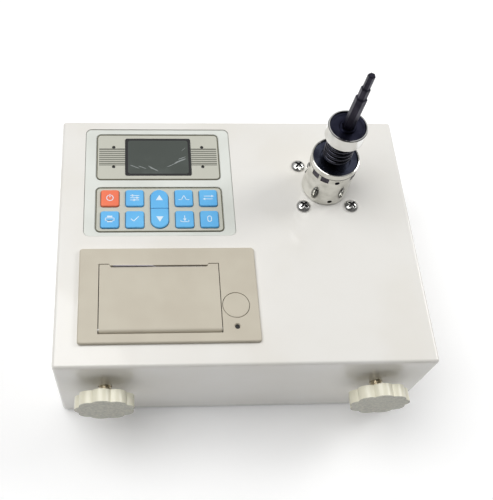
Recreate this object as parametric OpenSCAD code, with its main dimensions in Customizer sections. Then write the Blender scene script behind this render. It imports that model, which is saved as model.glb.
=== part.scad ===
// Benchtop torque tester with a keypad, a paper printer, a sprung test joint and two screw feet.
// Lengths are in millimetres. The rubber pads stand on the plane z = 0 and the front faces -Y.

/* [Case] */
// Width of the case
case_w = 232; // [228:1:260]
// Depth of the case
case_d = 180; // [178:1:210]
// Height of the cover
case_h = 81; // [80:1:95]
// Sheet thickness of the cover and the base plate
sheet = 1.5; // [1.2:0.1:2]
// Outer radius of the folded edges
edge_r = 2.2; // [2:0.2:5]
// Diameter of a rubber pad
pad_dia = 14; // [10:1:18]
// Height of a rubber pad
pad_h = 4; // [3:0.5:6]
// Distance of the pads' centres from the sides of the case
pad_inset = 22; // [16:1:30]
// Width of the folded corner blocks that take the base screws
corner_block = 9; // [8:1:12]
// Height of the corner blocks
corner_block_h = 8; // [6:1:12]
// Radius of a base screw's thread
base_screw_r = 1.5; // [1.2:0.1:2]
// Length of a base screw's thread
base_screw_l = 6; // [5:1:8]

/* [Control panel] */
// Width of the silver panel
panel_w = 99; // [98:1:104]
// Distance between the panel and the printer's bezel
panel_gap = 10; // [8:0.1:12]
// Distance of the panel from the case's left side
panel_x = 16; // [10:1:18]
// Distance of the panel from the case's back
panel_back = 6.7; // [5:0.1:8]
// Corner radius of the panel
panel_r = 4; // [2:0.5:6]
// Depth of the panel's face below the top of the cover
panel_sink = 0.5; // [0.2:0.1:0.8]
// Thickness of the panel frame
panel_t = 3; // [2.5:0.1:4]
// Width of the flange that bears on the underside of the cover
panel_flange = 2.4; // [1.5:0.1:3]
// Thickness of the inlay plates
inlay_t = 0.8; // [0.5:0.1:1]
// Width of the dark groove round an inlay plate
inlay_line = 0.5; // [0.3:0.1:0.8]
// Corner radius of the inlay plates
inlay_r = 3; // [2:0.5:4]
// Distance of the display's inlay from the sides of the panel
display_side = 7.7; // [6.5:0.1:8.5]
// Distance of the display's inlay from the panel's back edge
display_back = 4.4; // [3:0.1:6]
// Distance of the keys' inlay from the sides of the panel
field_side = 7.65; // [6.5:0.05:8.5]
// Distance of the keys' inlay from the panel's front edge
field_front = 3.4; // [2:0.1:5]
// Distance between the two inlays
inlay_gap = 6.3; // [5:0.1:8]
// Share of the inlays' depth that the display's inlay takes
display_share = 0.5239; // [0.5:0.0001:0.54]
// Distance of the window from the sides of its inlay
window_side = 19.4; // [18:0.1:21]
// Distance of the window from the front and back of its inlay
window_edge = 3.4; // [3:0.1:5]
// Corner radius of the window
window_r = 1.5; // [1:0.1:3]
// Thickness of the window
window_t = 1; // [0.8:0.1:1.5]
// Width of the ledge that carries the window
window_ledge = 1.3; // [1:0.1:2]
// Distance of the lamps from the sides of the display's inlay
lamp_side = 11.5; // [9:0.1:14]
// Distance of the lamps from the display's centre, front to back
lamp_dy = 8.1; // [6:0.1:12]
// Radius of a lamp's lens
lamp_r = 1.1; // [0.8:0.1:1.5]
// Radius of a lamp's body under the frame
lamp_body_r = 1.5; // [1.5:0.1:2]

/* [Keys] */
// Distance of the outer keys from the sides of their inlay
key_side = 3.35; // [3:0.05:4]
// Distance of the keys from the front and back of their inlay
key_edge = 2.45; // [2.2:0.05:3]
// Space between two columns of keys
key_space_x = 4.25; // [4:0.05:5]
// Space between the two rows of keys
key_space_y = 3.6; // [3.4:0.1:4.5]
// Corner radius of a key
key_r = 1.6; // [0.8:0.1:2.5]
// Height of the keys above the inlay
key_rise = 1.3; // [1:0.1:2]
// Travel of a key
key_travel = 0.6; // [0.3:0.1:0.8]
// Clearance round a key
key_gap = 0.3; // [0.2:0.05:0.4]
// Width of the lip that holds a key under the frame
key_lip = 0.9; // [0.6:0.1:1.1]
// Thickness of the lip
key_lip_t = 1; // [0.8:0.1:1.5]
// How much narrower the oval up/down key is than a square key
oval_inset = 0.2; // [0:0.1:1]
// How much longer the oval key is than the two rows of keys
oval_over = 0.2; // [0:0.1:0.4]
// Gap between the two halves of the oval key
oval_split = 0.4; // [0.3:0.05:0.6]
// Radius of a key's plunger
plunger_r = 2; // [1.5:0.1:2.5]
// Length of a key's plunger
plunger_l = 2.2; // [1.5:0.1:3]
// Width of a tactile switch
tact_w = 6; // [5:0.5:7]
// Height of a tactile switch's body
tact_h = 3.6; // [3:0.1:4]
// Height of the button on a tactile switch
tact_button_h = 1.4; // [1:0.1:2]
// Radius of the button on a tactile switch
tact_button_r = 1.7; // [1.5:0.1:2]

/* [Printer] */
// Width of the printer's bezel
bezel_w = 110.5; // [110:0.5:114]
// Depth of the bezel
bezel_d = 64; // [63:0.5:66]
// Height of the bezel above the cover
bezel_h = 2.5; // [2.2:0.1:3.5]
// Distance of the bezel from the case's left side
bezel_x = 14.4; // [10:0.1:18]
// Distance of the bezel from the case's front
bezel_y = 14; // [12:0.5:16]
// Width of the bevel round the bezel
bezel_bevel = 1.2; // [0.6:0.1:1.8]
// Corner radius of the bezel
bezel_r = 2; // [1:0.5:4]
// Width of the bezel's flange outside the housing, at the left and right
bezel_flange_x = 4.6; // [4:0.1:5]
// Width of the bezel's flange outside the housing, at the front and back
bezel_flange_y = 4; // [3.5:0.1:4.5]
// Depth of the housing under the cover
tub_depth = 47; // [46:1:50]
// Wall thickness of the housing
tub_wall = 2; // [1.5:0.1:2.5]
// Width of the door
door_w = 74.3; // [74:0.1:75]
// Depth of the door
door_d = 45.4; // [45:0.1:46]
// Distance of the door from the bezel's left side
door_x = 12.6; // [12:0.1:13]
// Distance of the door from the bezel's front
door_y = 6.9; // [6.6:0.1:7.2]
// Gap at the sides and the back of the door
door_gap = 0.35; // [0.25:0.05:0.5]
// Gap at the hinged front of the door
door_front_gap = 0.9; // [0.7:0.1:1.2]
// Length of the paper slot
slot_w = 62; // [60:0.5:64]
// Width of the paper slot
slot_gap = 1.2; // [1:0.1:1.5]
// Setback of the door's edge along the slot
slot_back = 1.9; // [1.6:0.1:2.2]
// Size of the slanted corners at the slot's ends
slot_corner = 1.2; // [0.5:0.1:1.5]
// Radius of the hinge pin
pin_r = 1.2; // [1:0.1:1.4]
// Width of the lugs that carry the hinge pin
lug_w = 3; // [2.5:0.1:3.2]
// Radius of the round release button
button_r = 8.15; // [7:0.05:8.2]
// Place of the button from the bezel's left side
button_x = 96.3; // [96:0.1:96.6]
// Place of the button from the bezel's front
button_y = 23.9; // [23:0.1:25]
// Gap round the button
button_gap = 0.3; // [0.2:0.05:0.35]
// Travel of the button
button_travel = 2; // [1:0.1:2.2]
// Height of the button's cap
button_cap = 2.8; // [2.5:0.1:3]
// Width of the bar that holds the button under the bezel
button_bar_w = 14; // [12:0.5:15]
// Length of that bar
button_bar_l = 21; // [19:0.5:22]
// Thickness of that bar
button_bar_t = 1.4; // [1:0.1:1.6]
// Radius of the button's stem
stem_r = 2.5; // [2:0.1:2.8]
// Radius of the printer's lamp
feed_lamp_r = 1.5; // [1.2:0.1:2]
// Place of the lamp from the bezel's left side
feed_lamp_x = 96.2; // [96:0.1:96.6]
// Place of the lamp from the bezel's front
feed_lamp_y = 9.9; // [9:0.1:11]

/* [Paper feed] */
// Radius of the platen roller
platen_r = 4; // [3.8:0.1:4.1]
// Length of the platen roller
platen_l = 60.4; // [58:0.1:61]
// Radius of the platen's shaft
platen_shaft_r = 2; // [1.5:0.1:2.2]
// Distance of the platen's axis below the top of the cover
platen_drop = 4.7; // [4.6:0.1:4.8]
// Thickness of the ears that carry the platen
ear_t = 2.5; // [2:0.1:2.6]
// Width of the ears
ear_w = 6; // [5.5:0.1:6.5]
// Length of the ears under the door
ear_l = 9.7; // [9:0.1:10]
// Module of the feed gears
gear_m = 0.5; // [0.45:0.01:0.52]
// Teeth of the gear on the platen
platen_teeth = 16;
// Teeth of the idler gear
idler_teeth = 30;
// Teeth of the motor's pinion
pinion_teeth = 12;
// Thickness of the feed gears
gear_t = 1.8; // [1.4:0.1:1.9]
// Radius of the feed motor
motor_r = 8; // [7:0.5:8]
// Length of the feed motor
motor_l = 17; // [14:0.5:18]
// Radius of the motor's shaft
motor_shaft_r = 1; // [0.8:0.1:1.2]
// Radius of a fresh paper roll
roll_r = 17.5; // [12:0.5:18]
// Width of the paper
paper_w = 57.5; // [50:0.5:58]
// Radius of the roll's hollow core
core_r = 6; // [4:0.5:8]
// Thickness of the paper, with its curl
paper_t = 0.2; // [0.15:0.05:0.25]
// Clearance between the paper and the platen
paper_gap = 0.45; // [0.4:0.05:0.5]
// Height of the paper above the bezel at its left end
paper_rise = 1.6; // [0.5:0.1:4]

/* [Torque head] */
// Distance of the torque axis from the case's right side
head_right = 54.6; // [50:0.1:60]
// Distance of the torque axis from the case's back
head_back = 54.1; // [50:0.1:60]
// Distance between the flange screws
flange_pitch = 32.2; // [30.5:0.1:34]
// Side of the square flange of the torque cell
flange_w = 46; // [44:1:50]
// Thickness of that flange
flange_t = 6; // [5:0.5:8]
// Radius of a flange screw's thread
flange_screw_r = 2.5; // [2:0.1:2.6]
// Radius of a flange screw's head
screw_head_r = 4.9; // [4.5:0.1:5.5]
// Height of a flange screw's head
screw_head_h = 3; // [2.5:0.1:3.5]
// Length of the cross cut in a screw head, as drawn across it
cross_l = 5.4; // [4:0.1:6]
// Width of the cross cut
cross_w = 1.2; // [0.8:0.1:1.4]
// Radius of the torque cell's body
cell_r = 14; // [12:0.5:16]
// Length of the torque cell's body under its flange
cell_l = 32; // [25:1:40]
// Radius of the cell's boss in the cover
boss_r = 9.6; // [8:0.1:10]
// Radius of the cell's shaft
shaft_r = 5; // [4:0.1:6]
// Length of the shaft inside the drive cup
shaft_l = 7; // [5:0.1:7.2]

/* [Drive cup] */
// Outer radius of the chrome cup
cup_r = 15.4; // [15:0.1:16.5]
// Height of the cup
cup_h = 33.7; // [33:0.1:36]
// Wall thickness of the cup
cup_wall = 1; // [0.9:0.1:1.4]
// Thickness of the cup's bottom
cup_base = 7.4; // [7.3:0.1:9]
// Gap between the cup and the cover
cup_gap = 0.3; // [0.2:0.05:0.5]
// Width of the bevel on the cup's edge
cup_bevel = 0.6; // [0.3:0.1:0.8]
// Depth of the dark core's top below the cup's edge
core_sink = 1.4; // [1:0.1:2]
// Width of an index mark round the cup
mark_w = 5.6; // [4:0.1:6]
// Height of an index mark
mark_h = 4.6; // [3:0.1:5]
// Depth of an index mark
mark_t = 0.5; // [0.3:0.1:0.8]
// Distance of the index marks below the cup's edge
mark_drop = 4.4; // [4:0.1:6]
// Width and depth of the fine groove over the index marks
rim_line = 0.3; // [0.2:0.05:0.4]
// Radius of a set screw
set_screw_r = 1.5; // [1.2:0.1:1.7]
// Length of a set screw
set_screw_l = 3; // [2.5:0.1:3.2]
// Height of the lower set screws above the cup's foot
set_low_z = 4.3; // [3.5:0.1:5]
// Distance of the upper set screws below the cup's edge
set_high_drop = 7.6; // [7:0.1:9]

/* [Test joint] */
// Mean radius of the spring
spring_r = 7.85; // [7.6:0.05:8]
// Diameter of the spring's wire
wire_d = 2.6; // [2:0.1:2.8]
// Number of free turns
spring_turns = 5; // [4:0.5:5]
// Radius of the seat pocket in the core
pocket_r = 9.6; // [9.5:0.1:10.5]
// Depth of the seat pocket
pocket_t = 1.2; // [1:0.1:2.6]
// Outer radius of the collar
collar_r = 12.2; // [12:0.1:13]
// Height of the collar
collar_h = 10; // [9.5:0.1:11]
// Wall thickness of the collar
collar_wall = 1; // [0.9:0.1:1.4]
// Height of the collar's foot above the cover
collar_z = 56; // [55.5:0.1:57]
// Bevel on the collar's edge
collar_bevel = 0.4; // [0.2:0.1:0.6]
// Depth of the spring seat inside the collar
seat_in = 2.4; // [2:0.1:2.8]
// Thickness of the spring seat
seat_t = 0.8; // [0.6:0.1:1]
// Depth of the bolt's head below the collar's edge
head_sink = 1; // [0.6:0.1:1.4]
// Radius of the bolt's neck inside the spring
neck_r = 5.5; // [5:0.1:5.8]
// Length of the neck under the seat
neck_l = 11; // [8:0.5:12]
// Radius of the bolt's thread
bolt_r = 4; // [3:0.1:4.5]
// Height of the bolt's tip above the cover
bolt_tip_z = 15; // [14.5:0.1:18]
// Travel of the test joint as it is screwed down
joint_travel = 6.25; // [1.25:1.25:6.25]
// Radius of the ring round the bit
ring_r = 5.2; // [5:0.1:6]
// Height of the ring round the bit
ring_h = 0.8; // [0.5:0.1:1]

/* [Hex bit] */
// Width across flats of the bit's thick part
bit_af = 6.35; // [5.5:0.05:6.4]
// Width across flats of the middle part
bit_mid_af = 5.1; // [4:0.1:5.4]
// Width across flats of the tip
bit_tip_af = 4; // [3:0.1:4.5]
// Height of the bit's first shoulder above the cover
bit_low_z = 93; // [85:0.5:100]
// Length of the middle part
bit_mid_l = 8; // [5:0.5:10]
// Length of the tip
bit_tip_l = 10; // [6:0.5:14]
// Depth of the hex socket in the bolt
socket_l = 9; // [7:0.5:9.5]
// Clearance of the bit in its socket, over its flats
bit_gap = 0.6; // [0.5:0.05:0.7]
// Lean of the bit to the right
bit_lean = 2.2; // [0:0.1:2.4]

/* [Screw feet] */
// Distance of the feet from the sides of the case
foot_x = 30; // [26:1:40]
// Height of the feet above the cover's lower edge
foot_z = 46; // [44:1:52]
// Outer radius of a star knob
knob_r = 18.7; // [17:0.1:20]
// Thickness of a star knob
knob_t = 8; // [7:0.5:10]
// Number of lobes
knob_lobes = 9; // [7:1:11]
// Radius of a lobe
lobe_r = 6.8; // [6.5:0.1:7.5]
// Rounding of the knob's edges
knob_round = 1.2; // [0.8:0.1:1.6]
// Gap between the knob and the case
knob_gap = 7; // [6:0.5:9]
// Radius of the stud
stud_r = 4; // [3:0.1:4.5]
// Depth of the stud in the knob
stud_in = 6; // [4:0.5:6.5]
// Length of the stud behind the front of the case
stud_back = 12.5; // [11:0.5:12.5]
// Width across flats of the weld nut
nut_af = 13; // [12:0.5:16]
// Thickness of the weld nut
nut_t = 8; // [6:0.5:9]
// Radius of the nut's flange
nut_flange_r = 9; // [8:0.5:10]
// Thickness of the nut's flange
nut_flange_t = 1.5; // [1:0.1:2]

/* [Electronics] */
// Width of the main board
board_w = 180; // [170:1:186]
// Distance between the battery pack and the main board
board_gap = 19.3; // [19:0.1:24]
// Distance of the main board from the case's left side
board_x = 30; // [24:1:34]
// Distance of the main board from the rear wall
board_back = 1.2; // [0.8:0.1:1.5]
// Thickness of the circuit boards
board_t = 1.6; // [1.2:0.1:2]
// Height of the standoffs
standoff_h = 8; // [6:1:10]
// Radius of a standoff
standoff_r = 3; // [2.5:0.1:4]
// Distance of the standoffs from the board's corners
standoff_inset = 5; // [4:0.5:7]
// Length of the battery pack
battery_l = 58; // [50:1:60]
// Radius of one battery cell
cell_radius = 7.2; // [7:0.1:7.5]
// Number of battery cells side by side
cells = 4; // [3:1:5]
// Distance of the battery pack from the case's right side
battery_right = 34; // [30:1:44]
// Distance of the battery pack from the case's front
battery_front = 24; // [22:1:26]
// Radius of the buzzer
buzzer_r = 6; // [5:0.5:7]
// Height of the buzzer
buzzer_h = 8; // [6:0.5:10]
// Distance of the charging jack from the case's left side
jack_x = 48; // [44:1:60]
// Width of the charging jack
jack_w = 11; // [10:0.5:12]
// Depth of the charging jack on the board
jack_d = 13; // [11:0.5:14]
// Radius of the jack's socket
jack_bore_r = 3.2; // [2.8:0.1:3.4]
// Radius of the pin in the jack
jack_pin_r = 1; // [0.8:0.1:1.2]
// Distance of the USB socket from the case's left side
usb_x = 76; // [72:1:100]
// Width of the USB socket
usb_w = 12; // [11:0.5:13]
// Height of the USB socket
usb_h = 11; // [10.5:0.5:12]
// Depth of the USB socket
usb_d = 14; // [12:0.5:16]
// Wall of the USB socket's shell
usb_wall = 1.2; // [1:0.1:1.5]

/* [Fits] */
// Radial clearance of a turning or sliding shaft
running = 0.05; // [0.02:0.01:0.09]
// Gap between pieces that lie loosely side by side
side_gap = 0.3; // [0.2:0.05:0.4]

/* [Hidden] */
$fn = 64;

// Overrun of every cut
cut = 1;
// Height of the base plate above the cover's lower edge
plate_lift = 0.3;
// Depth of the corner blocks in the cover's walls
corner_grip = 0.2;
// Height of a base screw's head, and how much wider it is than the thread
base_head_h = 1.4;
base_head_grow = 1.3;

// Case levels and walls
top_z = case_h;
skin_z = case_h - sheet;
floor_z = plate_lift + sheet;
inner_x1 = case_w - sheet;
inner_y1 = case_d - sheet;
foot_reach = knob_gap + knob_t;
lift = pad_h - plate_lift;
port_out = 0.4;
mid_y = (case_d + port_out - foot_reach) / 2;

// Control panel
panel_d = case_d - panel_back - panel_gap - bezel_d - bezel_y;
display_w = panel_w - 2 * display_side;
field_w = panel_w - 2 * field_side;
inlays_d = panel_d - display_back - inlay_gap - field_front;
display_d = inlays_d * display_share;
field_d = inlays_d - display_d;
window_w = display_w - 2 * window_side;
window_d = display_d - 2 * window_edge;
lamp_dx = display_w / 2 - lamp_side;
panel_y = case_d - panel_back - panel_d;
panel_mid_x = panel_x + panel_w / 2;
panel_face = top_z - panel_sink;
panel_low = panel_face - panel_t;
display_mid_y = panel_y + panel_d - display_back - display_d / 2;
field_mid_y = panel_y + field_front + field_d / 2;
panel_fit = 0.2;

// Keys
key_columns = 5;
key_rows = 2;
key_pitch_x = (field_w - 2 * key_side + key_space_x) / key_columns;
key_pitch_y = (field_d - 2 * key_edge + key_space_y) / key_rows;
key_w = key_pitch_x - key_space_x;
key_d = key_pitch_y - key_space_y;
oval_w = key_w - oval_inset;
oval_l = key_pitch_y + key_d + oval_over;
key_lip_top = panel_low - panel_fit;
key_lip_low = key_lip_top - key_lip_t;
plunger_low = key_lip_low - plunger_l;
tact_top = plunger_low - key_travel - panel_fit;
key_board_top = tact_top - tact_button_h - tact_h;
key_board_margin = 3;
key_board_w = field_w + 2 * key_board_margin;
key_board_d = field_d + key_board_margin;
stake_r = 2;
stake_pin_r = 1.2;
stake_inset = 2.4;

// Display module
glass_t = 5;
glass_side = 2;
glass_edge = 1.5;
glass_w = window_w + 2 * glass_side;
glass_d = window_d + 2 * glass_edge;
display_board_top = panel_low - glass_t;
display_board_side = 7;
display_board_edge = 1.5;
display_board_w = 2 * lamp_dx + 2 * display_board_side;
display_board_d = display_d + 2 * display_board_edge;

// Printer
bezel_top = top_z + bezel_h;
tub_x = bezel_x + bezel_flange_x;
tub_y = bezel_y + bezel_flange_y;
tub_w = bezel_w - 2 * bezel_flange_x;
tub_d = bezel_d - 2 * bezel_flange_y;
tub_low = top_z - tub_depth;
tub_floor = tub_low + tub_wall;
tub_in_x0 = tub_x + tub_wall;
tub_in_x1 = tub_x + tub_w - tub_wall;
tub_in_y0 = tub_y + tub_wall;
tub_in_y1 = tub_y + tub_d - tub_wall;
door_x0 = bezel_x + door_x;
door_x1 = door_x0 + door_w;
door_y0 = bezel_y + door_y;
door_y1 = door_y0 + door_d;
door_mid_x = (door_x0 + door_x1) / 2;
slot_x0 = door_mid_x - slot_w / 2;
slot_x1 = door_mid_x + slot_w / 2;
slot_y0 = door_y1 - slot_back;
slot_y1 = slot_y0 + slot_gap;
slot_mid_y = (slot_y0 + slot_y1) / 2;
hinge_y = door_y0 + bezel_h;
hinge_z = top_z;
lug_gap = 0.4;
lug_reach = 6.5;
lug_h = 4.9;
button_cx = bezel_x + button_x;
button_cy = bezel_y + button_y;
feed_lamp_cx = bezel_x + feed_lamp_x;
feed_lamp_cy = bezel_y + feed_lamp_y;

// Paper feed
platen_y = slot_mid_y - paper_t / 2 - paper_gap - platen_r;
platen_z = top_z - platen_drop;
ear_inset = 1.5;
ear_x0 = door_x0 + ear_inset;
ear_x1 = door_x1 - ear_inset;
mesh_gap = 0.1;
gear_gap = 0.7;
gear_x0 = door_mid_x + platen_l / 2 + gear_gap;
idler_z = platen_z - gear_m * (platen_teeth + idler_teeth) / 2 - mesh_gap;
idler_first = 90 + 180 / idler_teeth;
pinion_angle = idler_first + 11 * 360 / idler_teeth;
pinion_reach = gear_m * (idler_teeth + pinion_teeth) / 2 + mesh_gap;
pinion_y = platen_y + pinion_reach * cos(pinion_angle);
pinion_z = idler_z + pinion_reach * sin(pinion_angle);
bulkhead_t = 1.5;
bulkhead_gap = 1;
bulkhead_x0 = gear_x0 + gear_t + bulkhead_gap;
bulkhead_x1 = bulkhead_x0 + bulkhead_t;
bulkhead_drop = 6.8;
bulkhead_top = platen_z - bulkhead_drop;
idler_pin_r = 1.5;
roll_gap = 0.3;
roll_shift = 0.8;
roll_y = (tub_in_y0 + platen_y) / 2 + roll_shift;
roll_z = tub_floor + roll_gap + roll_r;
paper_x0 = door_mid_x - paper_w / 2;
paper_x1 = door_mid_x + paper_w / 2;
guide_t = 1.2;
guide_h = 14;
head_gap = 0.3;
head_plate_t = 1.5;
head_h = 13.5;
head_drop = 1.5;
head_top = top_z - head_drop;

// Release button and lever
bar_top = top_z - button_gap;
bar_low = bar_top - button_bar_t;
shelf_t = 1.5;
shelf_drop = 5.8;
shelf_gap = 0.5;
shelf_top = bar_low - shelf_drop;
shelf_x0 = door_x1 + shelf_gap;
lever_t = 1.6;
lever_drop = 6;
lever_reach = 6.2;
lever_z = shelf_top - lever_drop;
lever_x = button_cx - lever_reach;
lever_pin_r = 1.2;
lever_hub_r = 2.4;
lever_w = 8;
lever_gap = 0.3;
lever_rise = 1.7;
lever_top = lever_z + lever_rise;
lever_lug_t = 2;
stem_low = lever_top + lever_gap;
lever_tip_h = 3;
lever_left = 4.8;
lever_right = 8.7;
nose_r = 1;
button_wire = 0.8;
button_coil_r = 4.2;
button_turns = 2.5;
tab_t = 1.4;
tab_w = 6;
tab_drop = 1.1;
tab_low = shelf_top - tab_drop;

// Torque head
head_x = case_w - head_right;
head_y = case_d - head_back;
cup_z0 = top_z + cup_gap;
cup_z1 = cup_z0 + cup_h;
cup_in_r = cup_r - cup_wall;
cup_floor = cup_z0 + cup_base;
core_gap = 0.05;
core_top = cup_z1 - core_sink;
pocket_z = core_top - pocket_t;
collar_z0 = top_z + collar_z;
collar_z1 = collar_z0 + collar_h;
seat_z0 = collar_z0 + seat_in;
seat_z1 = seat_z0 + seat_t;
seat_head_gap = 0.2;
head_z0 = seat_z1 + seat_head_gap;
head_z1 = collar_z1 - head_sink;
neck_z = seat_z0 - neck_l;
bolt_z = top_z + bolt_tip_z;
collar_in_r = collar_r - collar_wall;
seat_r = collar_in_r - side_gap;
mark_step = 27;
mark_turn = -42.7;
set_turn = 2;
socket_z = head_z1 - socket_l;
bit_low = socket_z + side_gap;
bit_mid_z = top_z + bit_low_z;
bit_tip_z = bit_mid_z + bit_mid_l;
bit_end_z = bit_tip_z + bit_tip_l;
bit_bevel = 0.5;

// Screw feet
stud_rest = foot_reach - stud_in;

// Electronics
board_z = floor_z + standoff_h;
board_top = board_z + board_t;
board_d = inner_y1 - board_back - board_gap - battery_l - battery_front;
board_y = inner_y1 - board_back - board_d;
port_gap = 0.2;
jack_h = jack_w;

// Rounded rectangle with its corner at the origin
module plan(w, d, r) {
    translate([r, 0]) square([w - 2 * r, d]);
    translate([0, r]) square([w, d - 2 * r]);
    for (x = [r, w - r], y = [r, d - r]) translate([x, y]) circle(r = r);
}

// Oval centred on a point, longer from front to back
module oval_slab(x, y, w, l, z0, z1) {
    translate([x, y, z0]) linear_extrude(z1 - z0) {
        translate([-w / 2, -(l - w) / 2]) square([w, l - w]);
        for (side = [-1, 1]) translate([0, side * (l - w) / 2]) circle(r = w / 2);
    }
}

// Rounded rectangle centred on a point
module plan_at(x, y, w, d, r) {
    translate([x - w / 2, y - d / 2]) plan(w, d, r);
}

module slab(x, y, w, d, r, z0, z1) {
    translate([0, 0, z0]) linear_extrude(z1 - z0) plan_at(x, y, w, d, r);
}

module block(low, high) {
    translate(low) cube(high - low);
}

module post(x, y, r, z0, z1) {
    translate([x, y, z0]) cylinder(r = r, h = z1 - z0);
}

// Upright tube between two radii and two heights
module post_ring(x, y, r0, r1, z0, z1) {
    translate([x, y, z0]) linear_extrude(z1 - z0) difference() {
        circle(r = r1);
        circle(r = r0);
    }
}

module rod_x(y, z, r, x0, x1) {
    translate([x0, y, z]) rotate([0, 90, 0]) cylinder(r = r, h = x1 - x0);
}

module rod_y(x, z, r, y0, y1) {
    translate([x, y0, z]) rotate([-90, 0, 0]) cylinder(r = r, h = y1 - y0);
}

// Box with rounded upright and top edges and a flat bottom
module folded_box(w, d, h, r) {
    translate([r, 0, 0]) cube([w - 2 * r, d, h - r]);
    translate([0, r, 0]) cube([w, d - 2 * r, h - r]);
    translate([r, r, 0]) cube([w - 2 * r, d - 2 * r, h]);
    for (x = [r, w - r], y = [r, d - r]) {
        translate([x, y, 0]) cylinder(r = r, h = h - r);
        translate([x, y, h - r]) sphere(r = r);
    }
    for (x = [r, w - r]) rod_y(x, h - r, r, r, d - r);
    for (y = [r, d - r]) rod_x(y, h - r, r, r, w - r);
}

// Places a piece that is drawn from the case's front left corner
module placed() {
    translate([-case_w / 2, -mid_y, lift]) children();
}

// Copies a piece on the corners of a rectangle
module at_corners(x, y, dx, dy) {
    for (sx = [-1, 1], sy = [-1, 1]) translate([x + sx * dx, y + sy * dy, 0]) children();
}

// Sides of the base screws' rectangle
screw_dx = case_w / 2 - sheet - corner_block / 2;
screw_dy = case_d / 2 - sheet - corner_block / 2;

module top_cover() {
    color("ivory") placed() difference() {
        union() {
            difference() {
                folded_box(case_w, case_d, case_h, edge_r);
                translate([sheet, sheet, -cut])
                    folded_box(case_w - 2 * sheet, case_d - 2 * sheet, skin_z + cut, edge_r - sheet);
            }
            at_corners(case_w / 2, case_d / 2, screw_dx, screw_dy)
                slab(0, 0, corner_block + 2 * corner_grip, corner_block + 2 * corner_grip,
                    corner_grip, floor_z, floor_z + corner_block_h);
        }
        at_corners(case_w / 2, case_d / 2, screw_dx, screw_dy)
            post(0, 0, base_screw_r + running, floor_z - cut, floor_z + corner_block_h + cut);
        slab(panel_mid_x, panel_y + panel_d / 2, panel_w, panel_d, panel_r, skin_z - cut, top_z + cut);
        block([tub_x - side_gap, tub_y - side_gap, skin_z - cut],
            [tub_x + tub_w + side_gap, tub_y + tub_d + side_gap, top_z + cut]);
        post(head_x, head_y, boss_r + side_gap, skin_z - cut, top_z + cut);
        at_corners(head_x, head_y, flange_pitch / 2, flange_pitch / 2)
            post(0, 0, flange_screw_r + side_gap, skin_z - cut, top_z + cut);
        for (x = [foot_x, case_w - foot_x]) rod_y(x, foot_z, stud_r + side_gap, -cut, sheet + cut);
        block([jack_x - jack_w / 2 - port_gap, inner_y1 - cut, board_top - port_gap],
            [jack_x + jack_w / 2 + port_gap, case_d + cut, board_top + jack_h + port_gap]);
        block([usb_x - usb_w / 2 - port_gap, inner_y1 - cut, board_top - port_gap],
            [usb_x + usb_w / 2 + port_gap, case_d + cut, board_top + usb_h + port_gap]);
    }
}

module base_plate() {
    color("lightgray") placed() difference() {
        slab(case_w / 2, case_d / 2, case_w - 2 * sheet - 2 * side_gap, case_d - 2 * sheet - 2 * side_gap,
            edge_r - sheet, plate_lift, floor_z);
        at_corners(case_w / 2, case_d / 2, screw_dx, screw_dy)
            post(0, 0, base_screw_r + side_gap, -cut, floor_z + cut);
    }
}

module base_screws() {
    color("silver") placed() at_corners(case_w / 2, case_d / 2, screw_dx, screw_dy) difference() {
        union() {
            post(0, 0, base_screw_r, plate_lift, plate_lift + base_screw_l);
            post(0, 0, base_screw_r + base_head_grow, plate_lift - base_head_h, plate_lift);
        }
        for (a = [0, 90]) rotate([0, 0, a])
            block([-base_screw_r, -base_screw_r / 4, plate_lift - base_head_h - cut],
                [base_screw_r, base_screw_r / 4, plate_lift - base_head_h / 2]);
    }
}

module rubber_pads() {
    color("dimgray") placed()
        at_corners(case_w / 2, case_d / 2, case_w / 2 - pad_inset, case_d / 2 - pad_inset)
            translate([0, 0, plate_lift - pad_h]) {
                cylinder(r1 = pad_dia / 2 * 0.86, r2 = pad_dia / 2, h = pad_h / 4);
                translate([0, 0, pad_h / 4]) cylinder(r = pad_dia / 2, h = pad_h - pad_h / 4);
            }
}

// Copies a piece on the four stakes that hold a board under the frame
module stakes(x, y, w, d) {
    at_corners(x, y, w / 2 - stake_inset, d / 2 - stake_inset) children();
}

module panel_frame() {
    color("gainsboro") placed() {
        difference() {
            union() {
                slab(panel_mid_x, panel_y + panel_d / 2, panel_w - 2 * panel_fit, panel_d - 2 * panel_fit,
                    panel_r - panel_fit, panel_low, panel_face);
                slab(panel_mid_x, panel_y + panel_d / 2, panel_w + 2 * panel_flange,
                    panel_d + 2 * panel_flange, panel_r, panel_low, skin_z);
            }
            for (p = inlay_pockets()) slab(panel_mid_x, p[0], p[1] + 2 * inlay_line, p[2] + 2 * inlay_line,
                inlay_r + inlay_line, panel_face - inlay_t, panel_face + cut);
            slab(panel_mid_x, display_mid_y, window_w + 2 * panel_fit, window_d + 2 * panel_fit,
                window_r, panel_face - window_t, panel_face + cut);
            slab(panel_mid_x, display_mid_y, window_w - 2 * window_ledge, window_d - 2 * window_ledge,
                window_r, panel_low - cut, panel_face + cut);
            lamp_places() post(0, 0, lamp_r + running, panel_low - cut, panel_face);
            key_holes(panel_low - cut, panel_face);
        }
        stakes(panel_mid_x, field_mid_y, key_board_w, key_board_d) {
            post(0, 0, stake_r, key_board_top, panel_low);
            post(0, 0, stake_pin_r, key_board_top - board_t - side_gap, key_board_top);
        }
        stakes(panel_mid_x, display_mid_y, display_board_w, display_board_d) {
            post(0, 0, stake_r, display_board_top, panel_low);
            post(0, 0, stake_pin_r, display_board_top - board_t - side_gap, display_board_top);
        }
    }
}

// Middle, width and depth of the two inlay plates
function inlay_pockets() = [[display_mid_y, display_w, display_d], [field_mid_y, field_w, field_d]];

module lamp_places() {
    at_corners(panel_mid_x, display_mid_y, lamp_dx, lamp_dy) children();
}

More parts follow.
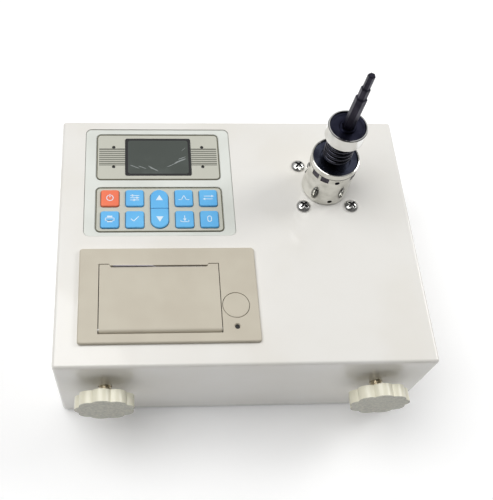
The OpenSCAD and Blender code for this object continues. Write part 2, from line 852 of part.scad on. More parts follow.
// Column and row of each square key, counted from the middle of the key field
function key_place(column, row) = [panel_mid_x + column * key_pitch_x, field_mid_y + row * key_pitch_y / 2];

module key_holes(z0, z1) {
    for (column = [-2, -1, 1, 2], row = [-1, 1]) {
        p = key_place(column, row);
        slab(p[0], p[1], key_w + 2 * key_gap, key_d + 2 * key_gap, key_r + key_gap, z0, z1);
    }
    oval_slab(panel_mid_x, field_mid_y, oval_w + 2 * key_gap, oval_l + 2 * key_gap, z0, z1);
}

module panel_inlays() {
    color("silver") placed() difference() {
        for (p = inlay_pockets())
            slab(panel_mid_x, p[0], p[1], p[2], inlay_r, panel_face - inlay_t, panel_face);
        slab(panel_mid_x, display_mid_y, window_w + 2 * panel_fit, window_d + 2 * panel_fit, window_r,
            panel_low - cut, panel_face + cut);
        lamp_places() post(0, 0, lamp_r + running, panel_low - cut, panel_face + cut);
        key_holes(panel_low - cut, panel_face + cut);
    }
}

module display_window() {
    color("darkslategray") placed() slab(panel_mid_x, display_mid_y, window_w, window_d,
        window_r - panel_fit, panel_face - window_t, panel_face);
}

module display_module() {
    color("dimgray") placed() {
        slab(panel_mid_x, display_mid_y, glass_w, glass_d, window_r, display_board_top, panel_low);
        difference() {
            slab(panel_mid_x, display_mid_y, display_board_w, display_board_d, window_r,
                display_board_top - board_t, display_board_top);
            stakes(panel_mid_x, display_mid_y, display_board_w, display_board_d)
                post(0, 0, stake_pin_r + running, display_board_top - board_t - cut, display_board_top + cut);
        }
    }
}

module indicator_lamps() {
    color("black") placed() lamp_places() {
        post(0, 0, lamp_body_r, display_board_top, panel_low - panel_fit);
        post(0, 0, lamp_r, panel_low - panel_fit, panel_face - panel_fit);
    }
}

// Square key with the lip and the plunger under it
module square_key(column, row, tint) {
    p = key_place(column, row);
    color(tint) placed() {
        slab(p[0], p[1], key_w, key_d, key_r, key_lip_low, panel_face + key_rise);
        slab(p[0], p[1], key_w + 2 * key_lip + 2 * key_gap, key_d + 2 * key_lip + 2 * key_gap, key_r,
            key_lip_low, key_lip_top);
        post(p[0], p[1], plunger_r, plunger_low, key_lip_low);
    }
}

// Upper (side = 1) or lower (side = -1) half of the oval key
module oval_key(side) {
    p = key_place(0, side);
    lip = 2 * key_lip + 2 * key_gap;
    color("skyblue") placed() {
        intersection() {
            union() {
                oval_slab(panel_mid_x, field_mid_y, oval_w, oval_l, key_lip_low, panel_face + key_rise);
                oval_slab(panel_mid_x, field_mid_y, oval_w + lip, oval_l + lip, key_lip_low, key_lip_top);
            }
            translate([panel_mid_x, field_mid_y + side * (oval_split + oval_l) / 2 + side * cut / 2, 0])
                block([-oval_w, -oval_l / 2 - cut / 2, plunger_low], [oval_w, oval_l / 2 + cut / 2, top_z + cut]);
        }
        post(p[0], p[1], plunger_r, plunger_low, key_lip_low);
    }
}

module key_power() { square_key(-2, 1, "coral"); }
module key_set() { square_key(-1, 1, "skyblue"); }
module key_up() { oval_key(1); }
module key_down() { oval_key(-1); }
module key_peak() { square_key(1, 1, "skyblue"); }
module key_unit() { square_key(2, 1, "skyblue"); }
module key_print() { square_key(-2, -1, "skyblue"); }
module key_check() { square_key(-1, -1, "skyblue"); }
module key_save() { square_key(1, -1, "skyblue"); }
module key_zero() { square_key(2, -1, "skyblue"); }

module key_board() {
    color("darkgreen") placed() difference() {
        slab(panel_mid_x, field_mid_y, key_board_w, key_board_d, window_r,
            key_board_top - board_t, key_board_top);
        stakes(panel_mid_x, field_mid_y, key_board_w, key_board_d)
            post(0, 0, stake_pin_r + running, key_board_top - board_t - cut, key_board_top + cut);
    }
}

module key_switches() {
    color("black") placed() for (column = [-2:2], row = [-1, 1]) {
        p = key_place(column, row);
        slab(p[0], p[1], tact_w, tact_w, stake_pin_r / 4, key_board_top, key_board_top + tact_h);
        post(p[0], p[1], tact_button_r, key_board_top + tact_h, tact_top);
    }
}

// Outline of the door as seen from above
module door_outline() {
    difference() {
        translate([door_x0, door_y0]) square([door_w, door_d]);
        slot_outline(slot_y0, door_y1 + cut);
    }
}

// Slot between the door and the tear edge, with slanted ends
module slot_outline(y0, y1) {
    polygon([[slot_x0 + slot_corner, y0], [slot_x1 - slot_corner, y0], [slot_x1, y0 + slot_corner],
        [slot_x1, y1], [slot_x0, y1], [slot_x0, y0 + slot_corner]]);
}

module printer_bezel() {
    color("wheat") placed() difference() {
        intersection() {
            translate([bezel_x, bezel_y, top_z]) linear_extrude(bezel_h) plan(bezel_w, bezel_d, bezel_r);
            translate([bezel_x, bezel_y + bezel_d + cut, top_z]) rotate([90, 0, 0])
                linear_extrude(bezel_d + 2 * cut) bevel_side(bezel_w);
            translate([bezel_x - cut, bezel_y, top_z]) rotate([90, 0, 90])
                linear_extrude(bezel_w + 2 * cut) bevel_side(bezel_d);
        }
        translate([0, 0, top_z - cut]) linear_extrude(bezel_h + 2 * cut) difference() {
            translate([door_x0 - door_gap, door_y0 - door_front_gap])
                square([door_w + 2 * door_gap, door_d + door_front_gap + door_gap]);
            translate([slot_x0, slot_y1]) square([slot_w, door_d]);
        }
        rod_x(hinge_y, hinge_z, pin_r + side_gap, door_x0 - lug_gap - lug_w - side_gap,
            door_x1 + lug_gap + lug_w + side_gap);
        post(button_cx, button_cy, button_r + button_gap, top_z - cut, bezel_top + cut);
        post(feed_lamp_cx, feed_lamp_cy, feed_lamp_r + running, top_z - cut, bezel_top + cut);
        translate([feed_lamp_cx, feed_lamp_cy, bezel_top - bezel_bevel / 2])
            cylinder(r1 = feed_lamp_r, r2 = feed_lamp_r + bezel_bevel, h = bezel_bevel);
    }
}

// Side view of the bezel with its two bevels
module bevel_side(w) {
    polygon([[0, 0], [w, 0], [w, bezel_h - bezel_bevel], [w - bezel_bevel, bezel_h],
        [bezel_bevel, bezel_h], [0, bezel_h - bezel_bevel]]);
}

module printer_housing() {
    color("tan") placed() difference() {
        union() {
            difference() {
                block([tub_x, tub_y, tub_low], [tub_x + tub_w, tub_y + tub_d, top_z]);
                block([tub_in_x0, tub_in_y0, tub_floor], [tub_in_x1, tub_in_y1, top_z + cut]);
            }
            for (x = [door_x0 - lug_gap - lug_w, door_x1 + lug_gap])
                block([x, tub_y, hinge_z - lug_h], [x + lug_w, tub_in_y0 + lug_reach, hinge_z - cut / 4]);
            block([bulkhead_x0, tub_y, tub_low], [bulkhead_x1, tub_in_y1 + tub_wall, bulkhead_top]);
            for (x = [paper_x0 - guide_t - roll_gap, paper_x1 + roll_gap])
                block([x, tub_y, tub_low], [x + guide_t, roll_y + roll_r, tub_floor + guide_h]);
            block([shelf_x0, tub_y, shelf_top - shelf_t],
                [tub_in_x1 + tub_wall, button_cy + lever_w, shelf_top]);
            for (y = [button_cy - lever_w / 2 - roll_gap - lever_lug_t, button_cy + lever_w / 2 + roll_gap])
                block([bulkhead_x0, y, lever_z - lever_hub_r],
                    [lever_x + lever_hub_r, y + lever_lug_t, lever_z + lever_hub_r]);
            rod_y(lever_x, lever_z, lever_pin_r, button_cy - lever_w / 2 - cut, button_cy + lever_w / 2 + cut);
            rod_x(platen_y, idler_z, idler_pin_r, gear_x0 - side_gap, bulkhead_x1);
        }
        rod_x(hinge_y, hinge_z, pin_r + running / 2, door_x0 - lug_gap - lug_w - cut,
            door_x1 + lug_gap + lug_w + cut);
        post(button_cx, button_cy, stem_r + side_gap, shelf_top - shelf_t - cut, shelf_top + cut);
        post(button_cx, button_cy, button_r + button_gap, bar_low - button_travel - button_gap, top_z + cut);
        rod_x(pinion_y, pinion_z, motor_shaft_r + side_gap, bulkhead_x0 - cut, bulkhead_x1 + cut);
    }
}

module printer_door() {
    color("wheat") placed() difference() {
        union() {
            difference() {
                translate([0, 0, top_z]) linear_extrude(bezel_h) door_outline();
                block([door_x0 - cut, door_y0 - cut, top_z - cut], [door_x1 + cut, hinge_y, bezel_top + cut]);
            }
            rod_x(hinge_y, hinge_z, bezel_h, door_x0, door_x1);
            for (x = [ear_x0, ear_x1 - ear_t])
                block([x, platen_y - ear_w / 2, top_z - ear_l], [x + ear_t, platen_y + ear_w / 2, bezel_top - cut / 2]);
            block([door_x1 - tab_t, button_cy - tab_w / 2, tab_low],
                [door_x1, button_cy + tab_w / 2, bezel_top - cut / 2]);
        }
        rod_x(hinge_y, hinge_z, pin_r + running, door_x0 - cut, door_x1 + cut);
        rod_x(platen_y, platen_z, platen_shaft_r + running, ear_x0 - cut, ear_x1 + cut);
    }
}

module door_pin() {
    color("silver") placed()
        rod_x(hinge_y, hinge_z, pin_r, door_x0 - lug_gap - lug_w, door_x1 + lug_gap + lug_w);
}

module platen_roller() {
    color("dimgray") placed() difference() {
        rod_x(platen_y, platen_z, platen_r, door_mid_x - platen_l / 2, door_mid_x + platen_l / 2);
        rod_x(platen_y, platen_z, platen_shaft_r + running / 2, door_mid_x - platen_l, door_mid_x + platen_l);
    }
}

module platen_shaft() {
    color("silver") placed()
        rod_x(platen_y, platen_z, platen_shaft_r, ear_x0 - side_gap, ear_x1 + side_gap);
}

// Gear outline with its first tooth at the given angle
module gear_outline(teeth, first) {
    pitch_r = gear_m * teeth / 2;
    root_r = pitch_r - 1.2 * gear_m;
    tip_r = pitch_r + 0.9 * gear_m;
    circle(r = root_r);
    for (i = [0:teeth - 1]) rotate(first + i * 360 / teeth)
        polygon([[root_r - gear_m, -0.9 * gear_m], [root_r, -0.85 * gear_m], [tip_r, -0.36 * gear_m],
            [tip_r, 0.36 * gear_m], [root_r, 0.85 * gear_m], [root_r - gear_m, 0.9 * gear_m]]);
}

// Gear on an axis along X, with a bore
module gear_x(y, z, teeth, first, bore) {
    translate([gear_x0, y, z]) rotate([90, 0, 90]) linear_extrude(gear_t) difference() {
        gear_outline(teeth, first);
        circle(r = bore);
    }
}

module platen_gear() {
    color("white") placed() gear_x(platen_y, platen_z, platen_teeth, -90, platen_shaft_r + running / 2);
}

module idler_gear() {
    color("white") placed() gear_x(platen_y, idler_z, idler_teeth, idler_first, idler_pin_r + running);
}

module motor_pinion() {
    color("gold") placed() {
        gear_x(pinion_y, pinion_z, pinion_teeth, pinion_angle + 180 / pinion_teeth, motor_shaft_r / 2);
        rod_x(pinion_y, pinion_z, motor_shaft_r, gear_x0, bulkhead_x1 + motor_l / 2);
    }
}

module feed_motor() {
    color("silver") placed() difference() {
        rod_x(pinion_y, pinion_z, motor_r, bulkhead_x1, bulkhead_x1 + motor_l);
        rod_x(pinion_y, pinion_z, motor_shaft_r + running, bulkhead_x1 - cut,
            bulkhead_x1 + motor_l / 2 + side_gap);
    }
}

module print_head() {
    face_y = slot_mid_y + paper_t / 2 + head_gap;
    color("silver") placed() {
        block([slot_x0 + 2 * side_gap, face_y, head_top - head_h],
            [slot_x1 - 2 * side_gap, face_y + head_plate_t, head_top]);
        block([slot_x0 + slot_corner, face_y, head_top - head_h + head_plate_t],
            [slot_x1 - slot_corner, tub_in_y1, head_top - head_plate_t]);
    }
}

module paper_roll() {
    color("white") placed() difference() {
        rod_x(roll_y, roll_z, roll_r, paper_x0, paper_x1);
        rod_x(roll_y, roll_z, core_r, paper_x0 - cut, paper_x1 + cut);
    }
}

// Paper from the roll, under the platen and up through the slot
wrap_r = platen_r + paper_gap;
leave_r = roll_r + roll_gap;
span_y = platen_y - roll_y;
span_z = platen_z - roll_z;
span = sqrt(span_y * span_y + span_z * span_z);
span_angle = atan2(span_z, span_y);
cross_angle = acos((leave_r + paper_t + wrap_r) / span);
wrap_angle = span_angle + cross_angle + 180;

// One face of the paper, seen from the right, about the platen's axis
wrap_steps = 15;
free_l = span * sin(cross_angle);
paper_top = platen_drop + bezel_h + paper_rise;
function paper_side(r) = concat(
    [r * [cos(wrap_angle), sin(wrap_angle)] + free_l * [sin(wrap_angle), -cos(wrap_angle)]],
    [for (i = [0:wrap_steps]) let (a = wrap_angle + (360 - wrap_angle) * i / wrap_steps) r * [cos(a), sin(a)]],
    [[r, paper_top]]);

module paper_strip() {
    inner = paper_side(wrap_r);
    outer = paper_side(wrap_r + paper_t);
    last = len(outer) - 1;
    color("lavender") placed() difference() {
        translate([paper_x0, platen_y, platen_z]) rotate([90, 0, 90]) linear_extrude(paper_w)
            polygon(concat(inner, [for (i = [0:last]) outer[last - i]]));
        translate([paper_x0, platen_y + wrap_r + paper_t + cut, platen_z + platen_drop]) rotate([90, 0, 0])
            linear_extrude(paper_t + 2 * cut) polygon([[-cut, bezel_h + paper_rise],
                [paper_w * 0.42, bezel_h + paper_rise * 0.7], [paper_w * 0.47, bezel_h / 2],
                [paper_w + cut, bezel_h / 2], [paper_w + cut, paper_top], [-cut, paper_top]]);
    }
}

module release_button() {
    color("wheat") placed() {
        post(button_cx, button_cy, button_r, bar_low, bezel_top);
        slab(button_cx, button_cy, button_bar_w, button_bar_l, stem_r / 2, bar_low, bar_top);
        post(button_cx, button_cy, stem_r, shelf_top - shelf_t - cut, bar_low);
        post(button_cx, button_cy, nose_r, stem_low, shelf_top - shelf_t);
    }
}

// Points of a coil whose ends stand one wire diameter square to their seats
coil_steps = 8;
function coil_points(r, wire, turns, height) = let (
        steps = round(coil_steps * turns),
        low = 1.5 * wire,
        rise = (height - 2 * low) / steps)
    concat([[0, 0], [0, wire]], [for (i = [0:steps]) [360 * i / coil_steps, low + rise * i]],
        [[360 * steps / coil_steps, height - wire], [360 * steps / coil_steps, height]]);

function coil_place(r, p) = [r * cos(p[0]), r * sin(p[0]), p[1]];

// One unbroken tube of six sides along the coil
module coil(r, wire, turns, height) {
    sides = 6;
    points = coil_points(r, wire, turns, height);
    last = len(points) - 1;
    rings = [for (i = [0:last]) let (
            here = coil_place(r, points[i]),
            back = coil_place(r, points[max(i - 1, 0)]),
            ahead = coil_place(r, points[min(i + 1, last)]),
            along = (ahead - back) / norm(ahead - back),
            out = [cos(points[i][0]), sin(points[i][0]), 0],
            flat_out = out - along * (out * along),
            side_a = flat_out / norm(flat_out),
            side_b = cross(along, side_a))
        for (k = [0:sides - 1])
            here + wire / 2 * (cos(360 * k / sides) * side_a + sin(360 * k / sides) * side_b)];
    walls = [for (i = [0:last - 1], k = [0:sides - 1]) let (
            a = i * sides + k,
            b = i * sides + (k + 1) % sides)
        each [[a, a + sides, b], [b, a + sides, b + sides]]];
    ends = [for (k = [1:sides - 2]) each [[0, k, k + 1], [last * sides, last * sides + k + 1, last * sides + k]]];
    polyhedron(points = rings, faces = concat(walls, ends));
}

// Least gap between turns of a coil, measured between points at least half a turn apart
function coil_gap(r, wire, turns, height) = let (
        points = coil_points(r, wire, turns, height),
        places = [for (p = points) coil_place(r, p)],
        apart = coil_steps / 2)
    min([for (i = [0:len(places) - 1], j = [i + apart + 1:1:len(places) - 1])
        norm(places[i] - places[j])]) - wire;

button_coil_h = bar_low - shelf_top;
joint_coil_h = seat_z0 - pocket_z;
echo(button_spring_gap = coil_gap(button_coil_r, button_wire, button_turns, button_coil_h));
echo(joint_spring_gap = coil_gap(spring_r, wire_d, spring_turns, joint_coil_h));

module button_spring() {
    color("silver") placed() translate([button_cx, button_cy, shelf_top])
        coil(button_coil_r, button_wire, button_turns, button_coil_h);
}

module release_lever() {
    color("white") placed() difference() {
        translate([lever_x, button_cy + lever_w / 2, lever_z]) rotate([90, 0, 0]) linear_extrude(lever_w) {
            circle(r = lever_hub_r);
            translate([-lever_left, lever_top - lever_z - lever_t]) square([lever_left + lever_right, lever_t]);
            translate([-lever_left, lever_top - lever_z - lever_t])
                square([lever_t * 0.7, lever_tip_h]);
        }
        rod_y(lever_x, lever_z, lever_pin_r + running, button_cy - lever_w, button_cy + lever_w);
    }
}

module feed_lamp() {
    color("black") placed() {
        post(feed_lamp_cx, feed_lamp_cy, feed_lamp_r * 1.6, shelf_top, top_z - side_gap);
        post(feed_lamp_cx, feed_lamp_cy, feed_lamp_r, top_z - side_gap, bezel_top - bezel_bevel);
    }
}

module flange_screws() {
    color("silver") placed() at_corners(head_x, head_y, flange_pitch / 2, flange_pitch / 2) difference() {
        union() {
            post(0, 0, flange_screw_r, skin_z - flange_t + side_gap, top_z);
            intersection() {
                post(0, 0, screw_head_r, top_z, top_z + screw_head_h);
                translate([0, 0, top_z + screw_head_h - screw_head_r * 1.25]) sphere(r = screw_head_r * 1.25);
            }
        }
        for (a = [45, 135]) rotate([0, 0, a])
            block([-cross_l / 2, -cross_w / 2, top_z + screw_head_h / 3],
                [cross_l / 2, cross_w / 2, top_z + screw_head_h + cut]);
    }
}

module torque_cell() {
    color("silver") placed() difference() {
        union() {
            slab(head_x, head_y, flange_w, flange_w, edge_r, skin_z - flange_t, skin_z);
            post(head_x, head_y, cell_r, skin_z - flange_t - cell_l, skin_z);
            post(head_x, head_y, boss_r, skin_z, top_z);
            post(head_x, head_y, shaft_r, top_z, cup_z0 + shaft_l);
        }
        at_corners(head_x, head_y, flange_pitch / 2, flange_pitch / 2)
            post(0, 0, flange_screw_r + running, skin_z - flange_t - cut, skin_z + cut);
    }
}

// Places a radial cut on the torque axis, turned from the front towards the right
module round_cup(turn, z) {
    translate([head_x, head_y, z]) rotate([90, 0, turn]) children();
}

// Two screws at the cup's foot clamp its shaft, four near its edge hold the core
module low_screws() {
    for (i = [0, 1]) round_cup(set_turn + 90 * i, cup_z0 + set_low_z) children();
}

module high_screws() {
    for (i = [0:3]) round_cup(set_turn + 90 * i, cup_z1 - set_high_drop) children();
}

module drive_cup() {
    color("gainsboro") placed() difference() {
        union() {
            post(head_x, head_y, cup_r, cup_z0 + cup_bevel, cup_z1 - cup_bevel);
            translate([head_x, head_y, cup_z1 - cup_bevel])
                cylinder(r1 = cup_r, r2 = cup_r - cup_bevel, h = cup_bevel);
            translate([head_x, head_y, cup_z0]) cylinder(r1 = cup_r - cup_bevel, r2 = cup_r, h = cup_bevel);
        }
        post(head_x, head_y, cup_in_r, cup_floor, cup_z1 + cut);
        post(head_x, head_y, shaft_r + running, cup_z0 - cut, cup_floor + cut);
        post_ring(head_x, head_y, cup_r - rim_line, cup_r + cut,
            cup_z1 - mark_drop - rim_line / 2, cup_z1 - mark_drop + rim_line / 2);
        for (side = [0:3], step = side % 2 == 0 ? [-0.5, 0.5] : [0])
            round_cup(mark_turn + 90 * side + step * mark_step, cup_z1 - mark_drop - mark_h)
                translate([-mark_w / 2, 0, cup_r - mark_t]) cube([mark_w, mark_h, cut]);
        low_screws() cylinder(r = set_screw_r + running, h = cup_r + cut);
        high_screws() cylinder(r = set_screw_r + running, h = cup_r + cut);
    }
}

module cup_set_screws() {
    color("dimgray") placed() {
        low_screws() translate([0, 0, shaft_r + side_gap]) cylinder(r = set_screw_r, h = set_screw_l);
        high_screws() translate([0, 0, cup_in_r - set_screw_l + side_gap])
            cylinder(r = set_screw_r, h = set_screw_l);
    }
}

module cup_core() {
    color("midnightblue") placed() difference() {
        post(head_x, head_y, cup_in_r - core_gap, cup_floor, core_top);
        post(head_x, head_y, pocket_r, pocket_z, core_top + cut);
        post(head_x, head_y, bolt_r + running, cup_floor - cut, core_top + cut);
        high_screws() translate([0, 0, cup_in_r - set_screw_l])
            cylinder(r = set_screw_r + running, h = cup_r);
    }
}

module joint_spring() {
    color("black") placed() translate([head_x, head_y, pocket_z])
        coil(spring_r, wire_d, spring_turns, joint_coil_h);
}

module spring_seat() {
    color("dimgray") placed() difference() {
        post(head_x, head_y, seat_r, seat_z0, seat_z1);
        post(head_x, head_y, neck_r + running, seat_z0 - cut, seat_z1 + cut);
    }
}

// Hexagonal bar along Z
module hex_bar(af, z0, z1) {
    translate([0, 0, z0]) rotate([0, 0, 30]) cylinder(r = af / sqrt(3), h = z1 - z0, $fn = 6);
}

module joint_bolt() {
    color("midnightblue") placed() difference() {
        union() {
            post(head_x, head_y, bolt_r, bolt_z, head_z0);
            post(head_x, head_y, neck_r, neck_z, head_z0);
            post(head_x, head_y, collar_in_r - core_gap, head_z0, head_z1);
            post(head_x, head_y, ring_r, head_z1, head_z1 + ring_h);
        }
        translate([head_x, head_y, 0]) hex_bar(bit_af + bit_gap, socket_z, collar_z1 + cut);
    }
}

module joint_collar() {
    color("gainsboro") placed() difference() {
        union() {
            post(head_x, head_y, collar_r, collar_z0, collar_z1 - collar_bevel);
            translate([head_x, head_y, collar_z1 - collar_bevel])
                cylinder(r1 = collar_r, r2 = collar_r - collar_bevel, h = collar_bevel);
        }
        post(head_x, head_y, collar_in_r, collar_z0 - cut, collar_z1 + cut);
    }
}

// The bit stands loosely in its socket and leans about the socket's middle
module leaning() {
    lean_z = (socket_z + head_z1) / 2;
    translate([head_x, head_y, lean_z]) rotate([0, bit_lean, 0]) translate([0, 0, -lean_z]) children();
}

module hex_bit() {
    color("black") placed() leaning() {
        hex_bar(bit_af, bit_low, bit_mid_z);
        hex_bar(bit_mid_af, bit_mid_z - cut, bit_tip_z);
        hex_bar(bit_tip_af, bit_tip_z - cut, bit_end_z - bit_bevel);
        translate([0, 0, bit_end_z - bit_bevel - cut / 2]) cylinder(r = bit_tip_af / 2 - bit_bevel / 2,
            h = bit_bevel + cut / 2);
    }
}

module main_board() {
    chip_t = 2;
    color("darkgreen") placed() difference() {
        union() {
            block([board_x, board_y, board_z], [board_x + board_w, board_y + board_d, board_top]);
            for (share = [0.35, 0.55, 0.8]) block(
                [board_x + board_w * share, board_y + board_d * 0.3, board_z],
                [board_x + board_w * (share + 0.08), board_y + board_d * 0.5, board_top + chip_t]);
        }
        standoff_places() post(0, 0, stake_pin_r + running, board_z - cut, board_top + cut);
    }
}

module standoff_places() {
    at_corners(board_x + board_w / 2, board_y + board_d / 2, board_w / 2 - standoff_inset,
        board_d / 2 - standoff_inset) children();
}

module standoffs() {
    color("gold") placed() standoff_places() {
        post(0, 0, standoff_r, floor_z, board_z);
        post(0, 0, stake_pin_r, board_z, board_top + side_gap);
    }
}

module battery_pack() {
    pack_x = case_w - battery_right - 2 * cells * cell_radius;
    color("royalblue") placed()
        translate([pack_x, battery_front + battery_l, floor_z]) rotate([90, 0, 0]) linear_extrude(battery_l)
            plan(2 * cells * cell_radius, 2 * cell_radius, cell_radius * 0.9);
}

module buzzer() {
    color("black") placed() difference() {
        post(board_x + board_w * 0.2, board_y + board_d * 0.4, buzzer_r, board_top, board_top + buzzer_h);
        post(board_x + board_w * 0.2, board_y + board_d * 0.4, buzzer_r / 5, board_top + buzzer_h / 2,
            board_top + buzzer_h + cut);
    }
}

module charge_jack() {
    middle_z = board_top + jack_h / 2;
    back_y = case_d + port_out;
    color("black") placed() {
        difference() {
            block([jack_x - jack_w / 2, back_y - jack_d, board_top], [jack_x + jack_w / 2, back_y, board_top + jack_h]);
            rod_y(jack_x, middle_z, jack_bore_r, back_y - jack_d * 0.75, back_y + cut);
        }
        rod_y(jack_x, middle_z, jack_pin_r, back_y - jack_d * 0.8, back_y - port_out);
    }
}

module usb_socket() {
    back_y = case_d + port_out;
    color("silver") placed() difference() {
        block([usb_x - usb_w / 2, back_y - usb_d, board_top], [usb_x + usb_w / 2, back_y, board_top + usb_h]);
        block([usb_x - usb_w / 2 + usb_wall, back_y - usb_d * 0.7, board_top + usb_wall],
            [usb_x + usb_w / 2 - usb_wall, back_y + cut, board_top + usb_h - usb_wall]);
    }
}

// Star outline: a disc with round lobes
module star() {
    circle(r = knob_r - lobe_r);
    for (i = [0:knob_lobes - 1]) rotate(i * 360 / knob_lobes)
        translate([0, knob_r - lobe_r]) circle(r = lobe_r);
}

// Round profile that eases the edges of the knob
module knob_envelope() {
    rotate_extrude() {
        square([knob_r - knob_round, knob_t]);
        translate([0, knob_round]) square([knob_r, knob_t - 2 * knob_round]);
        for (y = [knob_round, knob_t - knob_round]) translate([knob_r - knob_round, y]) circle(r = knob_round);
    }
}

module knob(x, turn) {
    color("antiquewhite") placed() translate([x, -knob_gap, foot_z]) rotate([90, turn, 0]) difference() {
        intersection() {
            linear_extrude(knob_t) star();
            knob_envelope();
        }
        translate([0, 0, -cut]) cylinder(r = stud_r + running, h = stud_in + cut);
    }
}

module stud(x) {
    color("silver") placed() rod_y(x, foot_z, stud_r, -knob_gap - stud_in + side_gap, stud_back);
}

module left_knob() { knob(foot_x, 6); }
module right_knob() { knob(case_w - foot_x, -4); }
module left_stud() { stud(foot_x); }
module right_stud() { stud(case_w - foot_x); }

module weld_nuts() {
    color("silver") placed() for (x = [foot_x, case_w - foot_x]) difference() {
        union() {
            rod_y(x, foot_z, nut_flange_r, sheet, sheet + nut_flange_t);
            translate([x, sheet, foot_z]) rotate([-90, 0, 0])
                cylinder(r = nut_af / sqrt(3), h = nut_flange_t + nut_t, $fn = 6);
        }
        rod_y(x, foot_z, stud_r + running, sheet - cut, sheet + nut_flange_t + nut_t + cut);
    }
}

top_cover();
base_plate();
base_screws();
rubber_pads();
panel_frame();
panel_inlays();
display_window();
display_module();
indicator_lamps();
key_power();
key_set();
key_up();
key_down();
key_peak();
key_unit();
key_print();
key_check();
key_save();
key_zero();
key_board();
key_switches();
printer_bezel();
printer_housing();
printer_door();
door_pin();
platen_roller();
platen_shaft();
platen_gear();
idler_gear();
motor_pinion();
feed_motor();
print_head();
paper_roll();
paper_strip();
release_button();
button_spring();
release_lever();
feed_lamp();
flange_screws();
torque_cell();
drive_cup();
cup_set_screws();
cup_core();
joint_spring();
spring_seat();
joint_bolt();
joint_collar();
hex_bit();
main_board();
standoffs();
battery_pack();
buzzer();
charge_jack();
usb_socket();
left_knob();
right_knob();
left_stud();
right_stud();
weld_nuts();
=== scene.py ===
"""Looks of a bench torque tester: folded case, control panel, strip printer, torque head and screw feet.

Every size is in case millimetres: x from the case's left side, y from its front, z from the cover's
lower edge.
"""

import math

import bpy
from mathutils import Matrix, Vector


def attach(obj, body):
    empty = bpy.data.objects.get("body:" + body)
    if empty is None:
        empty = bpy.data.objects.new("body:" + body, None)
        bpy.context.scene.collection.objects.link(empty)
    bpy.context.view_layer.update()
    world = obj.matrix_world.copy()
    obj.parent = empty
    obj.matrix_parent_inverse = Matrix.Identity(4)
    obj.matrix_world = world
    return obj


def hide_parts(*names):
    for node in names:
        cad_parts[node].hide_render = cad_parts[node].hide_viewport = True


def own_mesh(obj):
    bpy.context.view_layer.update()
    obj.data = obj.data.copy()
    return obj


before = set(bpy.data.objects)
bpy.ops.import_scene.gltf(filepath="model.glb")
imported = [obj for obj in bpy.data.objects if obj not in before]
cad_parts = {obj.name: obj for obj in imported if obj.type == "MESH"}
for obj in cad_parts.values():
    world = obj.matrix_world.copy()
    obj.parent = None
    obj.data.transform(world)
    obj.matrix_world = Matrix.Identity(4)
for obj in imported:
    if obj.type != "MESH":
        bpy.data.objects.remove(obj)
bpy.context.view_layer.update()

# Cutting and fits: how far a cutter runs past a surface, room round what passes a hole, and picking by place
OVERCUT = 1
HOLE_SPARE = 0.2
STUD_SPARE = 0.3
CLOSE_FIT = 0.05
PICK = 0.01
WELD = 0.001

# Case
CASE_WIDTH = 232
CASE_DEPTH = 180
CASE_HEIGHT = 81
MIDDLE_Y = 82.7
PAD_LIFT = 3.7
SHEET = 1.5
FOLD_RADIUS = 2.2
BLOCK_SIDE = 9.4
BLOCK_INSET = 6
BLOCK_CORNER = 0.4
BLOCK_LOW = 1.8
BLOCK_HIGH = 9.8
BASE_THREAD = 1.55

# Control panel
PANEL_X = 65.5
PANEL_Y = 130.65
PANEL_WIDTH = 99
PANEL_DEPTH = 85.3
PANEL_RADIUS = 4
PANEL_LOW = 77.5
PANEL_FACE = 80.5
PANEL_FLANGE = 2.4
PANEL_FIT = 0.4
PANEL_EASE = 0.15
INLAY_SINK = 0.8
INLAY_LINE = 0.5
INLAY_RADIUS = 3
INLAY_BORDER = 0.75
INLAY_EASE = 0.12
DISPLAY_Y = 150.25
DISPLAY_WIDTH = 83.6
DISPLAY_DEPTH = 37.3
FIELD_Y = 108.35
FIELD_WIDTH = 83.7
FIELD_DEPTH = 33.9
WINDOW_WIDTH = 44.8
WINDOW_DEPTH = 30.5
WINDOW_RADIUS = 1.5
WINDOW_LEDGE = 1.3
GLASS_THICK = 1
GLASS_BORDER_X = 1.8
GLASS_BORDER_Y = 1.5
GLASS_CORNER = 1.8
LAMP_DX = 30.3
LAMP_DY = 8.1
LAMP_RADIUS = 1.1
LAMP_BODY = 1.5
LAMP_LOW = 72.5
LAMP_TOP = 80.3
LENS_CURVE = ((1, 0.4), (0.8, 0.12), (0.3, 0))
STRIPE_FIRST = 22.5
STRIPE_LAST = 40.2
STRIPE_HALF = 6.7
STRIPE_COUNT = 8
STRIPE_GAP = 0.42
STRIPE_EDGE = 0.35

# Keys
KEY_WIDTH = 12
KEY_DEPTH = 12.7
KEY_RADIUS = 1.6
KEY_TOP = 81.8
KEY_LOW = 76.3
KEY_LIP_TOP = 77.3
KEY_LIP = 1.2
KEY_GAP = 0.3
KEY_CROWN = 0.9
LIP_EASE = 0.1
KEY_PITCH_X = 16.25
KEY_PITCH_Y = 16.3
OVAL_WIDTH = 11.8
OVAL_LENGTH = 29.2
OVAL_SPLIT = 0.4
PLUNGER_RADIUS = 2
PLUNGER_LOW = 74.1
PRINT_HEIGHT = 0.05
PRINT_LINE = 0.45
BOLD_LINE = 0.5

